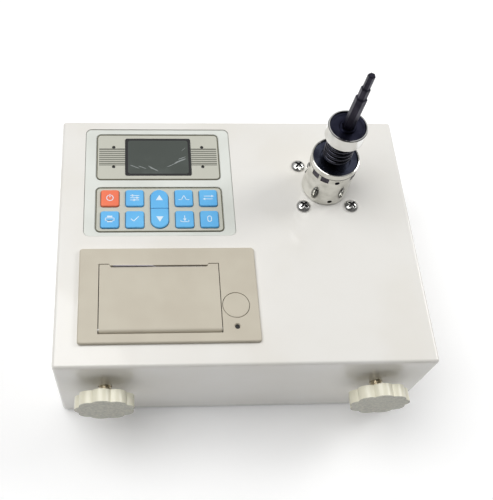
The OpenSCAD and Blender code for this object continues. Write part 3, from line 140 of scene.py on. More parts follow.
# Printer
BEZEL_X = 14.4
BEZEL_Y = 14
BEZEL_WIDTH = 110.5
BEZEL_DEPTH = 64
BEZEL_TOP = 83.5
BEZEL_CORNER = 2
BEZEL_BEVEL = 1.2
BEZEL_EASE = 0.15
TUB_LOW_X = 19
TUB_HIGH_X = 120.3
TUB_LOW_Y = 18
TUB_HIGH_Y = 74
DOOR_LEFT = 27
DOOR_RIGHT = 101.3
DOOR_FRONT = 20.9
DOOR_BACK = 66.3
DOOR_GAP = 0.5
DOOR_FRONT_GAP = 0.9
DOOR_EASE = 0.22
DOOR_SKIN = 0.5
SLOT_LEFT = 33.15
SLOT_RIGHT = 95.15
SLOT_FRONT = 64.4
SLOT_BACK = 65.6
SLOT_CORNER = 1.2
HINGE_Y = 23.4
KNUCKLE_RADIUS = 2.5
PIN_RADIUS = 1.2
PIN_GROOVE_RADIUS = 1.5
PIN_GROOVE_LENGTH = 82
EAR_LEFT = 28.5
EAR_RIGHT = 97.3
EAR_THICK = 2.5
EAR_HALF = 3
EAR_LOW = 71.3
PLATEN_Y = 60.45
PLATEN_Z = 76.3
SHAFT_BORE = 2.05
TAB_THICK = 1.4
TAB_HALF = 3
TAB_LOW = 72.4
BUTTON_X = 110.7
BUTTON_Y = 37.9
BUTTON_RADIUS = 8.15
BUTTON_GAP = 0.3
BUTTON_LOW = 79.3
BUTTON_BAR_TOP = 80.7
BUTTON_BAR_WIDTH = 14
BUTTON_BAR_LENGTH = 21
BUTTON_BAR_CORNER = 1.25
BUTTON_RIM = ((0, 0.35), (0.1, 0.1), (0.35, 0), (0.9, 0))
BUTTON_DISH = ((0.6, 0.12), (0.2, 0.18))
STEM_RADIUS = 2.5
STEM_LOW = 71
NOSE_RADIUS = 1
NOSE_LOW = 69.5
FEED_LAMP_X = 110.6
FEED_LAMP_Y = 23.9
FEED_LAMP_RADIUS = 1.5
COUNTERSINK = 0.6
SHELF_TOP = 73.5
BUTTON_COIL_RADIUS = 4.2
BUTTON_WIRE = 0.8
BUTTON_COIL_TURNS = 2.5

# Torque head
HEAD_X = 177.4
HEAD_Y = 125.9
BOSS_HOLE = 9.9
SCREW_REACH = 16.1
SCREW_RADIUS = 4.9
SCREW_HEIGHT = 3
SCREW_THREAD = 2.5
SCREW_LOW = 73.7
SCREW_EASE = 0.25
DOME_SHARE = 1.25
DOME_STEPS = 9
DOME_TIP = 0.2
CROSS_EASE = 0.12
CROSS_LENGTH = 6
CROSS_WIDTH = 1.5
CUP_RADIUS = 15.4
CUP_BORE = 14.4
CUP_LOW = 81.3
CUP_HIGH = 115
CUP_FLOOR = 88.7
CUP_BEVEL = 0.6
CUP_LIP = 0.2
CUP_SHAFT = 5.05
MARK_WIDTH = 5.6
MARK_LOW = 106
MARK_HIGH = 110.6
MARK_DEPTH = 0.5
MARK_TURN = -42.7
MARK_STEP = 27
RIM_LINE = 0.5
SET_TURN = 2
SET_LOW_Z = 85.6
SET_HIGH_Z = 107.4
SET_RADIUS = 1.55
SET_OUTER = 17
SET_HIGH_INNER = 11
SET_LOW_INNER = 5
CORE_RADIUS = 14.35
CORE_TOP = 113.6
CORE_EASE = 0.3
POCKET_EASE = 0.25
POCKET_RADIUS = 9.6
POCKET_FLOOR = 112.4
COIL_RADIUS = 7.85
COIL_WIRE = 2.6
COIL_TURNS = 5
COIL_TOP = 139.4
COLLAR_RADIUS = 12.2
COLLAR_BORE = 11.2
COLLAR_LOW = 137
COLLAR_HIGH = 147
COLLAR_BEVEL = 0.4
BOLT_HEAD_LOW = 140.4
BOLT_HEAD_TOP = 146
BOLT_RING = 5.2
BOLT_RIDGE = 9.4
BOLT_RING_TOP = 146.8
BOLT_NECK = 5.5
BOLT_NECK_LOW = 128.4
BOLT_SHANK = 4
BOLT_LOW = 96
BOLT_EASE = 0.6
HEAD_EASE = 0.5
RING_EASE = 0.4
RIDGE_EASE = 0.2
RIDGE_DROP = 0.25
SOCKET_FLATS = 6.95
SOCKET_LOW = 137
BIT_FLATS = 6.35
BIT_MIDDLE_FLATS = 5.1
BIT_TIP_FLATS = 4
BIT_LOW = 137.3
BIT_MIDDLE = 174
BIT_TIP = 182
BIT_END = 192
BIT_EASE = 0.6
BIT_STEP = 1.2
BIT_TIP_STEP = 1
BIT_TAPER = 0.8
BIT_SOFT = 0.15
BIT_LEAN = 2.2
LEAN_Z = 141.5

# Screw feet
FOOT_LEFT = 30
FOOT_RIGHT = 202
FOOT_Z = 46
KNOB_RADIUS = 18.7
KNOB_LOBES = 9
LOBE_RADIUS = 6.8
KNOB_BACK = -7
KNOB_FRONT = -15
KNOB_ROUND = 1.2
KNOB_DISC = 16.5
KNOB_BORE_FRONT = -14.7
KNOB_BORE_FIT = 0.02
STUD_RADIUS = 4
STUD_FRONT = -12.7
STUD_END = 12.5
STUD_TIP = 3.5
THREAD_PITCH = 1.25
THREAD_SHAPE = ((0.55, 0.35), (0, 0.8), (0, 0.95))

# Rear sockets
JACK_X = 48
JACK_HALF = 5.7
USB_X = 76
USB_HALF = 6.2
PORT_LOW = 11.2
PORT_HIGH = 22.6

# Picture
PICTURE_WIDTH = 493
PICTURE_HEIGHT = 500
FOCAL_PIXELS = 748.27
CENTRE_COLUMN = 180
CENTRE_ROW = 239.04
EYE = (47.9, -147.802, 500.412)
EYE_RIGHT = Vector((0.998, -0.03607, 0.05184))
EYE_AHEAD = Vector((0.06284, 0.48526, -0.87211))
SENSOR = 36

# Studio
FLOOR_SIDE = 40
FLOOR_DROP = 0.0001
FLOOR_GLOW = 0.16
SKY_LOW = 0.05
SKY_HIGH = 0.6
HORIZON = 0.22
VIEWER = (-0.14, -0.48, 0.865)


def mm(length):
    """Millimetres as Blender's metres."""
    return length / 1000


def spot(x, y, z):
    """A place in case millimetres, as a point of the part's frame."""
    return Vector((mm(x - CASE_WIDTH / 2), mm(y - MIDDLE_Y), mm(z + PAD_LIFT)))


def case_place(point):
    """A point of the part's frame, back in case millimetres."""
    return Vector((point.x * 1000 + CASE_WIDTH / 2, point.y * 1000 + MIDDLE_Y, point.z * 1000 - PAD_LIFT))


# Modelling


def name_new(name):
    """Gives the primitive that was just added its name and puts its place into its mesh."""
    piece = bpy.context.object
    piece.name = name
    piece.data.name = name
    bpy.ops.object.transform_apply(location=True, rotation=True, scale=True)
    return piece


def work_on(piece):
    """Leaves only this piece selected and active."""
    bpy.ops.object.select_all(action="DESELECT")
    piece.select_set(True)
    bpy.context.view_layer.objects.active = piece


def block(name, low, high, turn=0):
    """A box between two corners, turned about its own middle by some degrees."""
    bpy.ops.object.select_all(action="DESELECT")
    middle = (spot(*low) + spot(*high)) / 2
    sides = [mm(b - a) for a, b in zip(low, high)]
    bpy.ops.mesh.primitive_cube_add(size=1, location=middle, rotation=(0, 0, math.radians(turn)), scale=sides)
    return name_new(name)


def rod(name, axis, middle, radius, length, sides=64):
    """A round bar along x, y or z."""
    bpy.ops.object.select_all(action="DESELECT")
    turn = {"x": (0, math.pi / 2, 0), "y": (math.pi / 2, 0, 0), "z": (0, 0, 0)}[axis]
    bpy.ops.mesh.primitive_cylinder_add(
        vertices=sides, radius=mm(radius), depth=mm(length), location=spot(*middle), rotation=turn
    )
    return name_new(name)


def post(name, x, y, radius, low, high, sides=64):
    """An upright round bar between two heights."""
    return rod(name, "z", (x, y, (low + high) / 2), radius, high - low, sides)


def turned(name, x, y, rings, sides=96):
    """A piece turned on an upright axis, from rings of radius and height from one end face to the other."""
    bpy.ops.object.select_all(action="DESELECT")
    radius, height = rings[0]
    bpy.ops.mesh.primitive_circle_add(
        vertices=sides, radius=mm(radius), fill_type="NGON", location=spot(x, y, height)
    )
    piece = name_new(name)
    bpy.ops.object.mode_set(mode="EDIT")
    bpy.ops.mesh.select_all(action="SELECT")
    for next_radius, next_height in rings[1:]:
        rise = mm(next_height - height)
        bpy.ops.mesh.extrude_region_move(TRANSFORM_OT_translate={"value": (0, 0, rise)})
        widen = next_radius / radius
        bpy.ops.transform.resize(value=(widen, widen, 1), center_override=spot(x, y, next_height))
        radius, height = next_radius, next_height
    face_outwards()
    return piece


def face_outwards():
    """Merges doubled points and points every face outwards, from edit mode, and leaves it."""
    bpy.ops.mesh.select_all(action="SELECT")
    bpy.ops.mesh.remove_doubles(threshold=mm(WELD))
    bpy.ops.mesh.normals_make_consistent(inside=False)
    bpy.ops.object.mode_set(mode="OBJECT")


def open_for(piece, mode):
    """Opens a piece for editing with nothing selected, in vertex, edge or face mode."""
    work_on(piece)
    bpy.ops.object.mode_set(mode="EDIT")
    bpy.ops.mesh.select_mode(type=mode)
    bpy.ops.mesh.select_all(action="DESELECT")


def pick_faces(piece, wanted):
    """Opens a piece with those faces selected whose middle and normal are wanted."""
    open_for(piece, "FACE")
    bpy.ops.object.mode_set(mode="OBJECT")
    for face in piece.data.polygons:
        face.select = wanted(case_place(face.center), face.normal)
    bpy.ops.object.mode_set(mode="EDIT")


def pick_edges(piece, wanted):
    """Opens a piece with those edges selected whose two ends are wanted."""
    open_for(piece, "EDGE")
    bpy.ops.object.mode_set(mode="OBJECT")
    points = piece.data.vertices
    for edge in piece.data.edges:
        first, second = (case_place(points[i].co) for i in edge.vertices)
        edge.select = wanted(first, second)
    bpy.ops.object.mode_set(mode="EDIT")


def is_upright(first, second):
    return abs(first.x - second.x) < PICK and abs(first.y - second.y) < PICK


def is_at(height):
    """Wants the edges that lie at a height or over it."""
    return lambda first, second: min(first.z, second.z) > height - PICK


def round_edges(piece, wanted, radius, steps=5):
    """Rounds the wanted edges."""
    pick_edges(piece, wanted)
    bpy.ops.mesh.bevel(offset=mm(radius), segments=steps, affect="EDGES")
    bpy.ops.object.mode_set(mode="OBJECT")


def slab(name, x, y, width, depth, corner, low, high, steps=6):
    """A plate with rounded corners, round a middle."""
    piece = block(name, (x - width / 2, y - depth / 2, low), (x + width / 2, y + depth / 2, high))
    round_edges(piece, is_upright, corner, steps)
    return piece


def apply(piece, modifier):
    work_on(piece)
    bpy.ops.object.modifier_apply(modifier=modifier.name)


def soften(piece, width, steps=2, angle=30):
    """Eases the edges that are sharper than an angle."""
    bevel = piece.modifiers.new("eased edges", "BEVEL")
    bevel.width = mm(width)
    bevel.segments = steps
    bevel.limit_method = "ANGLE"
    bevel.angle_limit = math.radians(angle)
    bevel.miter_outer = "MITER_ARC"
    apply(piece, bevel)
    return piece


def combine(piece, others, operation):
    """Cuts other pieces out of one, or melts them into it, and uses them up."""
    for other in others:
        step = piece.modifiers.new("combined", "BOOLEAN")
        step.operation = operation
        step.object = other
        step.solver = "EXACT"
        apply(piece, step)
        bpy.data.objects.remove(other)
    return piece


def cut(piece, *others):
    return combine(piece, others, "DIFFERENCE")


def melt(piece, *others):
    return combine(piece, others, "UNION")


def join(piece, *others):
    """Makes one object of several, shell beside shell."""
    work_on(piece)
    for other in others:
        other.select_set(True)
    bpy.ops.object.join()
    return piece


def turn_about(centre, degrees, axis):
    """The turn by some degrees about an axis through a centre."""
    turning = Matrix.Rotation(math.radians(degrees), 4, axis)
    return Matrix.Translation(centre) @ turning @ Matrix.Translation(-centre)


def copy_of(piece, name, move=(0, 0, 0), turn=0, about=(0, 0)):
    """A copy with its own mesh, turned about an upright line by some degrees and then moved."""
    twin = piece.copy()
    twin.data = piece.data.copy()
    twin.name = name
    bpy.context.scene.collection.objects.link(twin)
    turning = turn_about(spot(*about, 0), turn, "Z")
    twin.data.transform(Matrix.Translation([mm(v) for v in move]) @ turning)
    return twin


def smooth(piece, angle=30):
    """Shades a piece smooth up to an angle, and keeps its flat faces flat beside their eased edges."""
    work_on(piece)
    bpy.ops.object.shade_smooth_by_angle(angle=math.radians(angle))
    flat = piece.modifiers.new("flat faces", "WEIGHTED_NORMAL")
    flat.keep_sharp = True
    apply(piece, flat)
    return piece


def fit(piece, body, finish, slot, *nodes):
    """Gives a finished piece its finish, its body and the nodes that it stands for."""
    piece.data.materials.clear()
    piece.data.materials.append(finish)
    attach(piece, body)
    if nodes:
        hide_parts(*nodes)
    return piece


# Finishes


def tone(red, green, blue):
    """A colour as seen on a screen, from 0 to 255, as linear light."""
    shares = [c / 255 for c in (red, green, blue)]
    return tuple(s / 12.92 if s <= 0.04045 else ((s + 0.055) / 1.055) ** 2.4 for s in shares) + (1,)


class Wire:
    """An output in a finish's nodes that takes part in sums."""

    def __init__(self, finish, socket):
        self.finish = finish
        self.socket = socket

    def math(self, operation, first, second=None):
        sockets = {0: first} if second is None else {0: first, 1: second}
        return self.finish.node("ShaderNodeMath", {"operation": operation}, sockets)

    def __add__(self, other):
        return self.math("ADD", self, other)

    __radd__ = __add__

    def __mul__(self, other):
        return self.math("MULTIPLY", self, other)

    __rmul__ = __mul__

    def __sub__(self, other):
        return self.math("SUBTRACT", self, other)

    def __rsub__(self, other):
        return self.math("SUBTRACT", other, self)

    def __truediv__(self, other):
        return self.math("DIVIDE", self, other)

    def __abs__(self):
        return self.math("ABSOLUTE", self)

    def __lt__(self, other):
        return self.math("LESS_THAN", self, other)

    def __gt__(self, other):
        return self.math("GREATER_THAN", self, other)

    def __mod__(self, other):
        return self.math("FLOORED_MODULO", self, other)

    def root(self):
        return self.math("SQRT", self)

    def at_least(self, least):
        return self.math("MAXIMUM", self, least)

    def ease(self, start, end):
        """0 before start, 1 after end, and smooth between them."""
        return self.finish.node(
            "ShaderNodeMapRange", {"interpolation_type": "SMOOTHSTEP"},
            {"Value": self, "From Min": start, "From Max": end},
        )


class Sheet:
    """The nodes of a material or of the sky."""

    def __init__(self, owner):
        owner.use_nodes = True
        self.nodes = owner.node_tree.nodes
        self.links = owner.node_tree.links

    def node(self, kind, settings=None, sockets=None, out=0):
        """Any node, from its type, its settings, and the values or wires of its sockets."""
        node = self.nodes.new(kind)
        for label, value in (settings or {}).items():
            setattr(node, label, value)
        for label, value in (sockets or {}).items():
            self.feed(node.inputs[label], value)
        return Wire(self, node.outputs[out])

    def feed(self, socket, value):
        if isinstance(value, Wire):
            self.links.new(value.socket, socket)
        else:
            socket.default_value = value

    def mix(self, share, first, second):
        """Two colours mixed by a share."""
        return self.node("ShaderNodeMix", {"data_type": "RGBA"}, {0: share, 6: first, 7: second}, out=2)


class Finish(Sheet):
    """A material in the making, with its shader's plain values set straight away."""

    def __init__(self, name, **plain):
        self.material = bpy.data.materials.new(name)
        super().__init__(self.material)
        self.shader = self.nodes["Principled BSDF"]
        for label, value in plain.items():
            self.shader.inputs[label.replace("_", " ").title()].default_value = value

    def set(self, **sockets):
        """Feeds the shader's sockets."""
        for label, value in sockets.items():
            self.feed(self.shader.inputs[label.replace("_", " ").title()], value)

    def place(self):
        """The piece's own place, in metres."""
        return self.node("ShaderNodeTexCoord", out=3)

    def along(self):
        """Case millimetres along x, y and z, as three wires."""
        apart = self.node("ShaderNodeSeparateXYZ", sockets={0: self.place()}).socket.node
        x, y, z = (Wire(self, output) for output in apart.outputs)
        return x * 1000 + CASE_WIDTH / 2, y * 1000 + MIDDLE_Y, z * 1000 - PAD_LIFT

    def stretched(self, x, y, z):
        """The piece's own place, stretched along each axis."""
        return self.node("ShaderNodeMapping", sockets={0: self.place(), "Scale": (x, y, z)})

    def grain(self, scale, detail=2, at=None, roughness=0.5):
        """Soft noise from 0 to 1, with so many cells for each metre."""
        sockets = {0: at or self.place(), "Scale": scale, "Detail": detail, "Roughness": roughness}
        return self.node("ShaderNodeTexNoise", sockets=sockets)

    def bump(self, height, depth, strength=1):
        """Raises the surface by a height times so many millimetres."""
        sockets = {"Strength": strength, "Distance": mm(depth), "Height": height}
        self.feed(self.shader.inputs["Normal"], self.node("ShaderNodeBump", sockets=sockets))


def from_edge(x, y, middle_x, middle_y, width, depth, corner):
    """How far a place lies outside a rounded rectangle, less than zero inside it."""
    out_x = (abs(x - middle_x) - (width / 2 - corner)).at_least(0)
    out_y = (abs(y - middle_y) - (depth / 2 - corner)).at_least(0)
    return (out_x * out_x + out_y * out_y).root() - corner


def painted(name, light, dark, roughness, peel):
    """Smooth glossy paint with orange peel and a slight change of tone."""
    paint = Finish(name, coat_roughness=0.06, coat_weight=0.45)
    cloudy = paint.grain(18, 3)
    fine = paint.grain(900, 2)
    paint.set(base_color=paint.mix(cloudy.ease(0.35, 0.7), light, dark), roughness=roughness + 0.08 * fine)
    paint.bump(fine, peel)
    return paint.material


def moulded(name, light, dark, roughness=0.45, texture=0.012, scale=2600):
    """Moulded plastic with a fine spark-eroded grain."""
    plastic = Finish(name)
    cloudy = plastic.grain(40, 2)
    fine = plastic.grain(scale, 3)
    plastic.set(base_color=plastic.mix(cloudy.ease(0.3, 0.75), light, dark), roughness=roughness + 0.1 * fine)
    plastic.bump(fine, texture)
    return plastic.material


def polished(name, light, dark, roughness, streak=(40, 40, 900), depth=0.004):
    """Polished or plated metal with faint marks of the tool along one direction."""
    metal = Finish(name, metallic=1)
    lines = metal.grain(1, 3, metal.stretched(*streak))
    stains = metal.grain(120, 3)
    metal.set(
        base_color=metal.mix(stains.ease(0.35, 0.75), light, dark),
        roughness=roughness + 0.12 * lines * stains,
    )
    metal.bump(lines, depth)
    return metal.material


IVORY = tone(233, 231, 226)
IVORY_SHADE = tone(229, 226, 219)
case_paint = painted("ivory case paint", IVORY, IVORY_SHADE, 0.3, 0.006)
zinc = polished("zinc sheet", tone(196, 198, 197), tone(170, 172, 172), 0.3, (600, 60, 60), 0.004)
pad_rubber = moulded("black rubber", tone(38, 38, 38), tone(30, 30, 31), 0.7, 0.03, 1600)
panel_silver = moulded("silver panel lacquer", tone(222, 225, 219), tone(214, 217, 210), 0.38, 0.006, 3200)
beige = moulded("beige printer plastic", tone(199, 192, 175), tone(193, 185, 168), 0.48, 0.012, 2400)
# The housing's dark grey is partly its own colour and partly painted shade for the gap round the door.
housing_grey_and_gap_shade = moulded("grey housing plastic with painted gap shade", tone(74, 72, 68), tone(62, 60, 57), 0.55, 0.012, 2400)
blue_key = moulded("sky blue key plastic", tone(106, 190, 242), tone(92, 178, 236), 0.35, 0.008, 1800)
orange_key = moulded("orange key plastic", tone(246, 126, 88), tone(238, 114, 78), 0.35, 0.008, 1800)
print_white = moulded("white key print", tone(225, 240, 250), tone(214, 232, 246), 0.5, 0.004, 3000)
black_plastic = moulded("black plastic", tone(26, 26, 27), tone(20, 20, 21), 0.35, 0.008, 2000)
white_plastic = moulded("white gear plastic", tone(232, 230, 222), tone(224, 222, 212), 0.4, 0.008, 2000)
bright_steel = polished("bright steel", tone(214, 214, 216), tone(186, 187, 190), 0.14)
brass = polished("brass", tone(214, 182, 104), tone(190, 156, 82), 0.25)
aluminium = polished("turned aluminium", tone(205, 206, 208), tone(186, 187, 190), 0.3, (60, 60, 1500), 0.006)
chrome = polished("chrome plate", tone(230, 230, 228), tone(214, 214, 212), 0.09, (30, 30, 700), 0.0015)
plated_steel = polished("plated stud steel", tone(232, 224, 206), tone(206, 197, 178), 0.3)
blued = polished("blued steel", tone(78, 82, 98), tone(44, 46, 60), 0.24, (80, 80, 900), 0.004)
# A darker copy of the blued steel for the bolt head deep in the collar: the extra darkness is painted shade.
blued_with_collar_shade = polished("blued steel darkened as collar shade", tone(56, 57, 74), tone(32, 33, 48), 0.22, (80, 80, 900), 0.004)
spring_steel = polished("black spring steel", tone(70, 70, 78), tone(48, 48, 56), 0.24, (80, 80, 900), 0.004)
black_oxide = polished("black oxide steel", tone(66, 64, 76), tone(46, 45, 56), 0.38, (300, 300, 60), 0.01)


def make_inlay_film():
    """Grey-green film with two blocks of printed lines beside the display."""
    film = Finish("printed inlay film", coat_weight=0.1)
    x, y, z = film.along()
    off_x = abs(x - PANEL_X)
    off_y = abs(y - DISPLAY_Y)
    band = (off_x > STRIPE_FIRST) * (off_x < STRIPE_LAST) * (off_y < STRIPE_HALF)
    pitch = 2 * STRIPE_HALF / STRIPE_COUNT
    line = ((y - DISPLAY_Y + STRIPE_HALF) % pitch) / pitch
    stripes = band * (line > STRIPE_GAP)
    edge = (off_x > STRIPE_FIRST) * (off_x < STRIPE_LAST) * (abs(off_y - STRIPE_HALF) < STRIPE_EDGE)
    printed = stripes * 0.85 + edge * 0.9
    display_plate = y > (DISPLAY_Y + FIELD_Y) / 2
    off_display = from_edge(x, y, PANEL_X, DISPLAY_Y, DISPLAY_WIDTH, DISPLAY_DEPTH, INLAY_RADIUS)
    off_keys = from_edge(x, y, PANEL_X, FIELD_Y, FIELD_WIDTH, FIELD_DEPTH, INLAY_RADIUS)
    border = display_plate * (off_display > -INLAY_BORDER) + (1 - display_plate) * (off_keys > -INLAY_BORDER)
    fine = film.grain(2600, 2)
    ground = film.mix(film.grain(30, 2), tone(199, 199, 187), tone(190, 190, 177))
    lined = film.mix(printed.ease(0, 1), ground, tone(112, 112, 102))
    film.set(base_color=film.mix(border, lined, tone(96, 94, 76)), roughness=0.42 + 0.1 * fine)
    film.bump(fine, 0.006)
    return film.material


def make_display_glass():
    """Dark display under a clear film that wrinkles towards its lower corners."""
    glass = Finish("dark display glass", coat_weight=0.6, coat_roughness=0.06)
    x, y, z = glass.along()
    across = x - PANEL_X
    up = y - DISPLAY_Y
    width, depth = WINDOW_WIDTH - 2 * GLASS_BORDER_X, WINDOW_DEPTH - 2 * GLASS_BORDER_Y
    inside = from_edge(x, y, PANEL_X, DISPLAY_Y, width, depth, GLASS_CORNER) < 0
    ragged = glass.grain(160, 4)
    creases = None
    for place_x, place_y, slope, length, wide in (
        (-16, -8, -0.55, 5, 0.5), (-11, -8.6, -0.4, 4, 0.5), (-3.5, -9.6, -0.62, 6, 0.8),
        (9.5, -6.4, 0.5, 6, 0.5), (15.2, -3.4, 0.42, 6, 1.0), (16.5, -1.2, 0.4, 4, 0.5),
        (17.5, 6.5, 0.9, 3.5, 0.3),
    ):
        run = (across - place_x) + slope * (up - place_y)
        off = abs((up - place_y) - slope * (across - place_x) + 2.4 * (ragged - 0.5))
        crease = (1 - off.ease(0, wide)) * (1 - abs(run).ease(length * 0.4, length))
        creases = crease if creases is None else creases + crease
    haze = glass.grain(70, 3).ease(0.45, 0.8) * (1 - (up + 3).ease(-9, 9))
    dark = glass.mix(glass.grain(25, 2), tone(67, 74, 68), tone(58, 65, 60))
    clouded = glass.mix(haze * 0.35, dark, tone(100, 108, 104))
    creased = glass.mix(creases.ease(0, 1.2) * 0.6, clouded, tone(182, 188, 188))
    glass.set(
        base_color=glass.mix(inside, tone(12, 12, 14), creased),
        roughness=0.22 + 0.25 * creases.ease(0, 1),
    )
    glass.bump(glass.grain(160, 2), 0.02)
    return glass.material


def make_paper():
    """Thin thermal paper with a faint lavender tone and fibres."""
    paper = Finish("thermal paper")
    fibres = paper.grain(1, 4, paper.stretched(500, 2500, 2500))
    paper.set(
        base_color=paper.mix(fibres, tone(214, 211, 222), tone(200, 198, 212)),
        roughness=0.75 + 0.1 * fibres,
    )
    paper.bump(fibres, 0.02)
    return paper.material


def make_board():
    """Circuit board: green lacquer over rows of copper tracks."""
    board = Finish("green circuit board", coat_weight=0.3)
    x, y, z = board.along()
    wander = 1.2 * board.grain(90, 1)
    tracks = (((x + 4 * wander) % 3.2) < 0.7) * (((y * 0.12 + wander) % 1) > 0.4)
    board.set(base_color=board.mix(tracks, tone(16, 84, 44), tone(48, 120, 66)), roughness=0.4 + 0.1 * wander)
    board.bump(tracks, 0.03)
    return board.material


def make_wrap():
    """Shrink wrap drawn tight over the battery cells."""
    wrap = Finish("blue battery wrap", coat_weight=0.4)
    folds = wrap.grain(1, 3, wrap.stretched(700, 60, 300))
    wrap.set(base_color=wrap.mix(folds, tone(38, 92, 178), tone(28, 74, 152)), roughness=0.3 + 0.15 * folds)
    wrap.bump(folds, 0.1)
    return wrap.material


def make_knob_plastic():
    """Cream plastic, smooth round the lobes and coarse on the end faces, which are painted grey as shade."""
    plastic = Finish("cream knob plastic", coat_weight=0.15, coat_roughness=0.2)
    x, y, z = plastic.along()
    face = 1 - y.ease(KNOB_FRONT + 0.1, KNOB_FRONT + 0.5)
    cloudy = plastic.grain(60, 2)
    coarse = plastic.grain(700, 3)
    smooth_tone = plastic.mix(cloudy, tone(234, 231, 212), tone(224, 220, 198))
    # The end faces are mixed to grey tone(172, 171, 160): painted shade on the same cream plastic, with a
    # speckle.
    plastic.set(
        base_color=plastic.mix(face * (0.6 + 0.4 * coarse.ease(0.3, 0.7)), smooth_tone, tone(172, 171, 160)),
        roughness=0.32 + 0.2 * face,
    )
    plastic.bump(coarse * (0.1 + face), 0.16)
    return plastic.material


def make_marked_chrome():
    """Chrome of the drive cup, painted dark as shade where the index marks and the fine groove are sunk into
    it.
    """
    plate = Finish("chrome with painted shade in its marks")
    x, y, z = plate.along()
    reach = ((x - HEAD_X) * (x - HEAD_X) + (y - HEAD_Y) * (y - HEAD_Y)).root()
    in_wall = reach > (CUP_BORE + 0.2)
    sunk = in_wall * (reach < CUP_RADIUS - RIM_LINE / 2) * (z > MARK_LOW - 0.5) * (z < MARK_HIGH + RIM_LINE)
    stains = plate.grain(140, 3)
    lines = plate.grain(1, 3, plate.stretched(30, 30, 700))
    clean = plate.mix(stains.ease(0.35, 0.75), tone(220, 219, 213), tone(192, 191, 184))
    # The dark tone in the sunk marks and the groove is painted shade.
    plate.set(
        base_color=plate.mix(sunk, clean, tone(60, 54, 68)),
        metallic=1 - 0.7 * sunk,
        roughness=0.1 + 0.1 * lines * stains + 0.3 * sunk,
    )
    plate.bump(lines, 0.0015)
    return plate.material


def make_cross_steel():
    """Mirror-bright steel of the flange screws, painted black inside their cross recesses as shade."""
    steel = Finish("bright steel with a shaded cross")
    x, y, z = steel.along()
    off_x = abs(x - HEAD_X) - SCREW_REACH
    off_y = abs(y - HEAD_Y) - SCREW_REACH
    ball = SCREW_RADIUS * DOME_SHARE
    over = z - (CASE_HEIGHT + SCREW_HEIGHT - ball)
    sunk = (off_x * off_x + off_y * off_y + over * over < (ball - 0.25) ** 2) * (z > CASE_HEIGHT + 0.3)
    stains = steel.grain(300, 2)
    bright = steel.mix(stains, tone(236, 235, 232), tone(216, 215, 211))
    # Near black and no metal inside the cross recesses is painted shade.
    steel.set(
        base_color=steel.mix(sunk, bright, tone(22, 22, 24)),
        metallic=0.85 * (1 - sunk),
        roughness=0.05 + 0.05 * stains + 0.4 * sunk,
    )
    steel.bump(stains, 0.01)
    return steel.material


inlay_film = make_inlay_film()
display_glass = make_display_glass()
paper = make_paper()
circuit_board = make_board()
battery_wrap = make_wrap()
chrome_shaded_in_marks = make_marked_chrome()
cross_steel = make_cross_steel()
knob_cream = make_knob_plastic()


# Case


def screw_spots():
    """The middles of the four flange screws."""
    ways = (-SCREW_REACH, SCREW_REACH)
    return [(HEAD_X + dx, HEAD_Y + dy) for dx in ways for dy in ways]


def corner_block(x, y):
    """A block in a corner of the cover, threaded for a screw of the base."""
    corner = slab("corner_block", x, y, BLOCK_SIDE, BLOCK_SIDE, BLOCK_CORNER, BLOCK_LOW, BLOCK_HIGH, 2)
    thread = post("thread", x, y, BASE_THREAD, BLOCK_LOW - OVERCUT, BLOCK_HIGH + OVERCUT, sides=32)
    return cut(corner, thread)


def make_cover():
    """Folded cover: a rounded box, open below, with its cut-outs and the blocks for the base screws."""
    cover = block("cover_shell", (0, 0, 0), (CASE_WIDTH, CASE_DEPTH, CASE_HEIGHT))
    round_edges(cover, lambda a, b: max(a.z, b.z) > PICK, FOLD_RADIUS, 6)
    pick_faces(cover, lambda at, normal: normal.z < -0.9)
    bpy.ops.mesh.delete(type="FACE")
    bpy.ops.object.mode_set(mode="OBJECT")
    wall = cover.modifiers.new("sheet", "SOLIDIFY")
    wall.thickness = mm(SHEET)
    wall.offset = -1
    apply(cover, wall)
    low, high = CASE_HEIGHT - SHEET - OVERCUT, CASE_HEIGHT + OVERCUT
    left, right = TUB_LOW_X - HOLE_SPARE, TUB_HIGH_X + HOLE_SPARE
    front, back = TUB_LOW_Y - HOLE_SPARE, TUB_HIGH_Y + HOLE_SPARE
    cut(
        cover,
        slab("panel_hole", PANEL_X, PANEL_Y, PANEL_WIDTH, PANEL_DEPTH, PANEL_RADIUS, low, high),
        block("tub_hole", (left, front, low), (right, back, high)),
        post("boss_hole", HEAD_X, HEAD_Y, BOSS_HOLE, low, high),
    )
    inside, outside = CASE_DEPTH - 2 * SHEET, CASE_DEPTH + OVERCUT
    for x, half in ((JACK_X, JACK_HALF), (USB_X, USB_HALF)):
        cut(cover, block("port_hole", (x - half, inside, PORT_LOW), (x + half, outside, PORT_HIGH)))
    for x in (FOOT_LEFT, FOOT_RIGHT):
        middle = (x, SHEET / 2, FOOT_Z)
        cut(cover, rod("stud_hole", "y", middle, STUD_RADIUS + STUD_SPARE, SHEET + 2 * OVERCUT))
    for x, y in screw_spots():
        cut(cover, post("screw_hole", x, y, SCREW_THREAD + HOLE_SPARE, low, high, sides=32))
    for x in (BLOCK_INSET, CASE_WIDTH - BLOCK_INSET):
        for y in (BLOCK_INSET, CASE_DEPTH - BLOCK_INSET):
            join(cover, corner_block(x, y))
    smooth(cover)
    fit(cover, "case", case_paint, "case_paint", "top_cover")


# Control panel


def key_spot(column, row):
    return PANEL_X + column * KEY_PITCH_X, FIELD_Y + row * KEY_PITCH_Y / 2


def oval(name, grow, low, high):
    """A plate with half-round ends, as the up and down keys share."""
    width = OVAL_WIDTH + 2 * grow
    return slab(name, PANEL_X, FIELD_Y, width, OVAL_LENGTH + 2 * grow, width / 2 - 0.01, low, high, 16)


def lamp_spots():
    """The middles of the four lamps."""
    return [(PANEL_X + dx, DISPLAY_Y + dy) for dy in (-LAMP_DY, LAMP_DY) for dx in (-LAMP_DX, LAMP_DX)]


